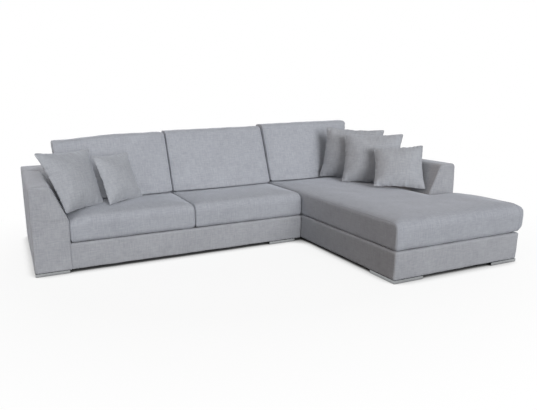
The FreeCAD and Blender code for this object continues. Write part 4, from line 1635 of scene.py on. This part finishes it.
    def dress(self, piece: bpy.types.Object, store: FinishStore, low: Vector, high: Vector) -> None:
        """Shades the cushion, sews its side seams and gives both their finish.

        Args:
            piece: the object to work on.
            store: the finishes to draw from.
            low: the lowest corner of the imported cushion.
            high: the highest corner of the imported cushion.
        """
        shade(piece, 60)
        lay_weave(piece)
        store.fit(piece, CUSHION_FABRIC, "cushion_fabric", self.body, self.node)
        left_tilt, right_tilt = (lean / (high.z - low.z) for lean in self.lean)
        right = high.x - self.foot_end - self.seam_inset
        ends = (("left", (low.x + self.seam_inset, 0, low.z), (1, 0, left_tilt)),
                ("right", (right, 0, low.z), (1, 0, -right_tilt)))
        for word, place, normal in ends:
            seam = section_cord(piece, f"{self.node}_{word}_seam", place, normal,
                                self.seam_radius, [((0, 0, low.z + 0.012), (0, 0, 1))])
            store.fit(seam, CUSHION_SEAM_HIGHLIGHT, "cushion_fabric", self.body)
        log.info("back cushion %s: %d vertices", piece.name, len(piece.data.vertices))


@dataclass
class ThrowPillow:
    """A knife-edged throw pillow that leans on what is behind it.

    Attributes:
        node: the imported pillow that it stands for.
        body: the body that it rides on.
        centre: the middle of the pillow.
        turn: its yaw, backward tilt and roll, in degrees.
        thickness: how thick the filling is in the middle.
        corners: where its corners are drawn to in its own plane: bottom left, bottom right,
            top left and top right.
        floor: the height of the seat below it.
        cells: how many quads lie across it.
        fill: how tight the filling is.
        flat_side: the side of the flat, empty pillow.
        flat_thickness: the thickness of the empty pillow.
        drawn: the share of the outline that comes from the simulation.
        blown: the share of the thickness that comes from it.
        pucker_depth: how far the folds along the rim stand out.
        seam_radius: the radius of the sewn rim.
    """

    node: str
    body: str
    centre: Point
    turn: Point
    thickness: float
    corners: tuple[tuple[float, float], ...]
    floor: float
    cells: int = 44
    fill: Fill = field(default_factory=lambda: Fill(4.0, (0.3, 0.3, 0.3), 20, -0.02))

    flat_side: float = 0.50
    flat_thickness: float = 0.004
    drawn: float = 0.20
    blown: float = 0.45
    pucker_depth: float = 0.016
    seam_radius: float = 0.0022

    def frame(self) -> Matrix:
        """Returns the pillow's own frame: x across, y to the back and z up its face.

        Returns:
            The frame, as a matrix.
        """
        yaw, tilt, roll = (math.radians(angle) for angle in self.turn)
        return (Matrix.Translation(self.centre) @ Matrix.Rotation(yaw, 4, "Z")
                @ Matrix.Rotation(-tilt, 4, "X") @ Matrix.Rotation(roll, 4, "Y"))

    def build(self, store: FinishStore) -> None:
        """Makes the pillow flat, fills it, and leans it in its place.

        Args:
            store: the finishes to draw from.
        """
        deselect()
        bpy.ops.mesh.primitive_grid_add(x_subdivisions=self.cells, y_subdivisions=self.cells,
                                        size=self.flat_side,
                                        location=(0, 0, -self.flat_thickness / 2))
        piece = bpy.context.object
        piece.name = piece.data.name = f"{self.node}_cover"
        bpy.ops.object.transform_apply(location=True, rotation=True, scale=True)
        with editing(piece):
            bpy.ops.mesh.select_all(action="SELECT")
            bpy.ops.mesh.extrude_region_move(
                TRANSFORM_OT_translate={"value": (0, 0, self.flat_thickness)})
            bpy.ops.mesh.select_all(action="SELECT")
            bpy.ops.mesh.normals_make_consistent(inside=False)
        half = self.flat_side / 2 - 1e-4
        with editing(piece):
            choose(piece, Part.EDGES, lambda at: at.z > 0 and (abs(at.x) > half or abs(at.y) > half))
            bpy.ops.mesh.mark_seam()
        flat_points = read_points(piece)
        self.fill.inflate(piece)
        self.shape(piece, flat_points)
        self.lean_on(piece)
        seam = self.rim(piece)
        apply_modifier(piece, "SUBSURF", levels=1, render_levels=1)
        shade(piece, 60)
        lay_weave(piece, self.frame())
        store.fit(piece, PILLOW_FABRIC, "pillow_fabric", self.body, self.node)
        store.fit(seam, PILLOW_FABRIC, "pillow_fabric", self.body)
        log.info("pillow %s: %d vertices", piece.name, len(piece.data.vertices))

    def puckers(self, u: numpy.ndarray, v: numpy.ndarray) -> numpy.ndarray:
        """Returns the small folds that run in from the sewn edges.

        Args:
            u: the place across the pillow, from -1 to 1.
            v: the place up the pillow, from -1 to 1.

        Returns:
            How far each point stands out.
        """
        seed = self.centre[0] * 10
        folds = numpy.zeros(len(u))
        edges = ((v, 1 - numpy.abs(u), numpy.sign(u)), (u, 1 - numpy.abs(v), 3 * numpy.sign(v)))
        for along, off, shift_by in edges:
            near_edge = numpy.exp(-off / 0.16) * numpy.clip(off / 0.05, 0.0, 1.0)
            places = numpy.stack([along * 11.0, off * 1.2, shift_by * 5.0 + seed], axis=1)
            folds += near_edge * numpy.array([noise.noise(place) for place in places.tolist()])
        return folds * self.pucker_depth

    def shape(self, piece: bpy.types.Object, flat_points: numpy.ndarray) -> None:
        """Sets the filled pillow's thickness and draws its corners to their places.

        Args:
            piece: the object to work on.
            flat_points: the points of the empty pillow.
        """
        points = read_points(piece)
        width = numpy.abs(points[:, 0]).max()
        depth = numpy.abs(points[:, 1]).max()
        thick = numpy.abs(points[:, 2]).max()
        half = self.flat_side / 2
        u = points[:, 0] / width * self.drawn + flat_points[:, 0] / half * (1.0 - self.drawn)
        v = points[:, 1] / depth * self.drawn + flat_points[:, 1] / half * (1.0 - self.drawn)
        places = numpy.array(self.corners)
        weights = numpy.stack([(1 - u) * (1 - v), (1 + u) * (1 - v),
                               (1 - u) * (1 + v), (1 + u) * (1 + v)])
        flat = (weights.T / 4.0) @ places
        falling = (1.0 - numpy.abs(flat_points[:, :2] / half) ** 2.1).clip(0.0)
        plump = numpy.sign(flat_points[:, 2]) * numpy.prod(falling, axis=1) ** 0.58
        puffed = points[:, 2] / thick * self.blown + plump * (1.0 - self.blown)
        puffed *= self.thickness / 2
        puffed += self.puckers(u, v) * numpy.sign(flat_points[:, 2])
        write_points(piece, numpy.stack([flat[:, 0], -puffed, flat[:, 1]], axis=1))
        with editing(piece):
            bpy.ops.mesh.select_all(action="SELECT")
            bpy.ops.mesh.normals_make_consistent(inside=False)
        piece.data.transform(self.frame())

    def lean_on(self, piece: bpy.types.Object) -> None:
        """Rests the pillow's lower edge on the seat.

        Args:
            piece: the object to work on.
        """
        points = read_points(piece)
        points[:, 2] = hold_above(points[:, 2], self.floor, 0.010)
        write_points(piece, points)

    def rim(self, piece: bpy.types.Object) -> bpy.types.Object:
        """Returns the sewn edge, a thin cord all round the pillow.

        Args:
            piece: the filled pillow.

        Returns:
            The cord, as a mesh.
        """
        name = f"{self.node}_seam"
        line = duplicate(piece, name)
        with editing(line) as mesh:
            bpy.ops.mesh.select_mode(type="EDGE")
            bpy.ops.mesh.select_all(action="DESELECT")
            for edge in mesh.edges:
                edge.select_set(not edge.seam)
            bmesh.update_edit_mesh(line.data)
            bpy.ops.mesh.delete(type="EDGE_FACE")
            bpy.ops.mesh.select_all(action="SELECT")
            bpy.ops.mesh.mark_seam(clear=True)
        return tube_from_edges(line, name, self.seam_radius)


@dataclass(frozen=True)
class Viewpoint:
    """The camera of the photograph.

    Attributes:
        place: where it stands.
        yaw: its turn to the right of straight on, in radians.
        pitch: how far it looks down, in radians.
        roll: its turn about the line of sight, in radians.
        focal: the focal length in pixels of the photograph.
        centre_x: the pixel column that it looks along.
        width: the photograph's width in pixels.
    """

    place: Point = (-1.7034, -3.5242, 1.2353)
    yaw: float = 0.363
    pitch: float = 0.222
    roll: float = -0.023
    focal: float = 507.5
    centre_x: float = 200.0
    width: float = 537.0

    def build(self) -> None:
        """Makes the camera and sets it as the scene's own."""
        sin_a, cos_a = math.sin(self.yaw), math.cos(self.yaw)
        sin_t, cos_t = math.sin(self.pitch), math.cos(self.pitch)
        ahead = Vector((sin_a * cos_t, cos_a * cos_t, -sin_t))
        right = Vector((cos_a, -sin_a, 0.0))
        above = Vector((sin_a * sin_t, cos_a * sin_t, cos_t))
        across = right * math.cos(self.roll) + above * math.sin(self.roll)
        upward = above * math.cos(self.roll) - right * math.sin(self.roll)
        sensor = 36.0
        data = bpy.data.cameras.new("camera")
        data.sensor_width = sensor
        data.lens = self.focal / self.width * sensor
        data.shift_x = (self.width / 2 - self.centre_x) / self.width
        camera = bpy.data.objects.new("camera", data)
        turn = Matrix((across, upward, -ahead)).transposed().to_4x4()
        camera.matrix_world = Matrix.Translation(self.place) @ turn
        bpy.context.scene.collection.objects.link(camera)
        bpy.context.scene.camera = camera


@dataclass(frozen=True)
class Studio:
    """A pale floor in soft light that comes mostly from the front.

    Attributes:
        floor_size: the floor's width and depth.
        floor_colour: the floor's colour near the sofa.
        floor_bounce: the colour by which it throws light back at the sofa.
        sky: the strength of the even light from all round.
        key: the strength of the main light.
        key_from: the direction that it comes from.
        fill: the strength of the warm light from the left.
        fill_from: the direction that it comes from.
        top: the strength of the light from above on the left.
        top_from: the direction that it comes from.
        rear: the strength of the low light from behind.
        rear_from: the direction that it comes from.
    """

    floor_size: float = 60.0
    floor_colour: float = 0.93
    floor_bounce: float = 0.10
    sky: float = 0.325
    key: float = 2.74
    key_from: Point = (0.0, -0.95, 0.26)
    fill: float = 0.30
    fill_from: Point = (-1.0, 0.42, 0.30)
    top: float = 0.42
    top_from: Point = (-0.62, -0.25, 0.74)
    rear: float = 1.1
    rear_from: Point = (0.30, 0.95, 0.10)

    def build(self) -> None:
        """Makes the floor, the world and the lamps."""
        deselect()
        bpy.ops.mesh.primitive_grid_add(x_subdivisions=12, y_subdivisions=12, size=self.floor_size)
        floor = bpy.context.object
        floor.name = floor.data.name = "floor"
        floor.data.materials.append(self.floor_material())
        self.light_world()
        white = (1.0, 1.0, 1.0)
        self.lamp("key_light", self.key, self.key_from, 35.0, (0.98, 0.99, 1.0))
        self.lamp("fill_light", self.fill, self.fill_from, 25.0, (1.0, 0.66, 0.42))
        self.lamp("top_light", self.top, self.top_from, 40.0, white)
        self.lamp("rear_light", self.rear, self.rear_from, 60.0, white)
        bpy.context.scene.view_settings.view_transform = "Standard"

    def floor_material(self) -> bpy.types.Material:
        """Returns a pale floor that fades to plain white away from the sofa, with a painted contact
        shadow: its glow goes dark where the sofa is close.

        Returns:
            The material.
        """
        shader = Shader("studio_floor")
        shader.set(Roughness=0.85, Specular_IOR_Level=0.1)
        length = shader.add("ShaderNodeVectorMath", operation="LENGTH")
        shader.join(shader.place((0.56, 0.75, 0.0)), length.inputs[0])
        far = shader.reach(length.outputs["Value"], 0.9, 1.7, 0.85, 1.0)
        # Painted contact shadow: ambient occlusion darkens the floor's glow under and beside the sofa.
        open_sky = shader.add("ShaderNodeAmbientOcclusion", samples=16)
        open_sky.inputs["Distance"].default_value = 0.14
        painted_contact_shadow = shader.reach(open_sky.outputs["AO"], 0.18, 0.70)
        path = shader.add("ShaderNodeLightPath")
        seen = shader.combine("MAXIMUM", path.outputs["Is Camera Ray"], path.outputs["Is Glossy Ray"])
        seen = shader.combine("MAXIMUM", seen, path.outputs["Is Transmission Ray"])
        shader.colour(shader.blend(seen, (self.floor_bounce,) * 3, (self.floor_colour,) * 3))
        glow = shader.add("ShaderNodeEmission")
        shader.join(shader.blend(painted_contact_shadow, (0.002,) * 3, (1.0,) * 3), glow.inputs["Color"])
        mixer = shader.add("ShaderNodeMixShader")
        shader.join(shader.combine("MULTIPLY", far, seen), mixer.inputs["Fac"])
        shader.join(shader.surface.outputs["BSDF"], mixer.inputs[1])
        shader.join(glow.outputs["Emission"], mixer.inputs[2])
        output = next(node for node in shader.tree.nodes if node.type == "OUTPUT_MATERIAL")
        shader.join(mixer.outputs["Shader"], output.inputs["Surface"])
        return shader.material

    def light_world(self) -> None:
        """Lights the scene evenly from all round, and shows white behind it."""
        world = bpy.data.worlds.new("studio")
        bpy.context.scene.world = world
        world.use_nodes = True
        nodes, links = world.node_tree.nodes, world.node_tree.links
        background = nodes["Background"]
        path = nodes.new("ShaderNodeLightPath")
        seen = nodes.new("ShaderNodeMath")
        seen.operation = "MAXIMUM"
        links.new(path.outputs["Is Camera Ray"], seen.inputs[0])
        links.new(path.outputs["Is Glossy Ray"], seen.inputs[1])
        through = nodes.new("ShaderNodeMath")
        through.operation = "MAXIMUM"
        links.new(seen.outputs[0], through.inputs[0])
        links.new(path.outputs["Is Transmission Ray"], through.inputs[1])
        strength = nodes.new("ShaderNodeMapRange")
        strength.inputs["To Min"].default_value = self.sky
        strength.inputs["To Max"].default_value = 1.0
        links.new(through.outputs[0], strength.inputs["Value"])
        links.new(strength.outputs["Result"], background.inputs["Strength"])
        background.inputs["Color"].default_value = (1.0, 1.0, 1.0, 1.0)

    def lamp(self, name: str, strength: float, source: Point, spread: float, tint: Colour) -> None:
        """Adds one wide, soft lamp that shines from a direction.

        Args:
            name: the lamp's name.
            strength: its strength.
            source: the direction that the light comes from.
            spread: the angle that the source fills, in degrees.
            tint: the light's colour.
        """
        data = bpy.data.lights.new(name, "SUN")
        data.energy = strength
        data.angle = math.radians(spread)
        data.color = tint
        lamp = bpy.data.objects.new(name, data)
        lamp.matrix_world = Vector(source).to_track_quat("Z", "Y").to_matrix().to_4x4()
        bpy.context.scene.collection.objects.link(lamp)


LEFT_FLOOR = 0.4245
RIGHT_FLOOR = 0.4280

PILLOWS = (
    ThrowPillow("left_large_pillow", "pillow_left_large", (-1.226, 0.232, 0.617), (40, 26, 1.5), 0.160,
                ((-0.236, -0.221), (0.154, -0.225), (-0.303, 0.236), (0.230, 0.228)), LEFT_FLOOR),
    ThrowPillow("left_small_pillow", "pillow_left_small", (-0.910, 0.312, 0.598), (37, 24, 1.5), 0.136,
                ((-0.198, -0.194), (0.186, -0.197), (-0.192, 0.193), (0.195, 0.189)), LEFT_FLOOR),
    ThrowPillow("right_rear_pillow", "pillow_right_rear", (1.209, 0.270, 0.641), (-46, 14, 2.5), 0.160,
                ((-0.250, -0.222), (0.237, -0.222), (-0.242, 0.235), (0.260, 0.230)), RIGHT_FLOOR),
    ThrowPillow("right_middle_pillow", "pillow_right_middle", (1.221, 0.012, 0.630), (-42, 22, 0.5),
                0.160,
                ((-0.221, -0.214), (0.230, -0.214), (-0.231, 0.224), (0.246, 0.219)), RIGHT_FLOOR),
    ThrowPillow("right_front_pillow", "pillow_right_front", (1.256, -0.292, 0.594), (-36, 34, 0), 0.136,
                ((-0.190, -0.173), (0.191, -0.188), (-0.193, 0.180), (0.182, 0.192)), RIGHT_FLOOR),
)


def covers() -> list[object]:
    """Returns the upholstered parts of the two sections.

    Returns:
        The parts, in the order in which they are built.
    """
    return [
        Arm("left_arm_cover", "left_section", Side.LEFT),
        Arm("chaise_arm_cover", "chaise_section", Side.RIGHT),
        Back("left_back_cover", "left_section", Side.LEFT),
        Back("chaise_back_cover", "chaise_section", Side.RIGHT),
        BaseBand("left_base_cover", "left_section", ((-1.400, -0.010, -0.1), (0.508, 1.2, 0.3)),
                 seams=(-1.3425, -0.412), tuck=0.004),
        BaseBand("chaise_base_cover", "chaise_section", ((0.540, -1.100, -0.1), (1.580, 1.2, 0.3)),
                 openings=(((1.50, -0.535, -0.1), (1.70, 1.2, 0.3)),)),
        Underside("left_dust_cover", ("left_arm_cover", "left_back_cover"), "left_section"),
        Underside("chaise_dust_cover", ("chaise_base_cover", "chaise_back_cover"), "chaise_section"),
    ]


def cushions() -> list[object]:
    """Returns the loose seat and back cushions.

    Returns:
        The cushions, in the order in which they are built.
    """
    return [
        SeatCushion("left_seat_cushion", "left_seat", sag=-1.342),
        SeatCushion("middle_seat_cushion", "middle_seat"),
        SeatCushion("chaise_cushion", "chaise_seat", edge_height=0.390, crown=0.028, front_round=0.055,
                    voxel=0.0135, notch=(1.342, -0.537), rest_height=0.4065),
        BackCushion("left_back_cushion", "left_back", 0.490, 0.690, 0.896, end_fall=0.026,
                    lean=(0.024, 0.0)),
        BackCushion("middle_back_cushion", "middle_back", 0.490, 0.690, 0.903),
        BackCushion("corner_back_cushion", "corner_back", 0.485, 0.678, 0.920, foot_end=0.110,
                    lean=(0.0, 0.134)),
    ]


def main() -> None:
    """Builds the sofa's looks in order."""
    Viewpoint().build()
    Studio().build()
    store = FinishStore()
    store.dress_nodes()
    for part in (*covers(), *cushions(), *PILLOWS):
        part.build(store)


if __name__ == "__main__":
    main()
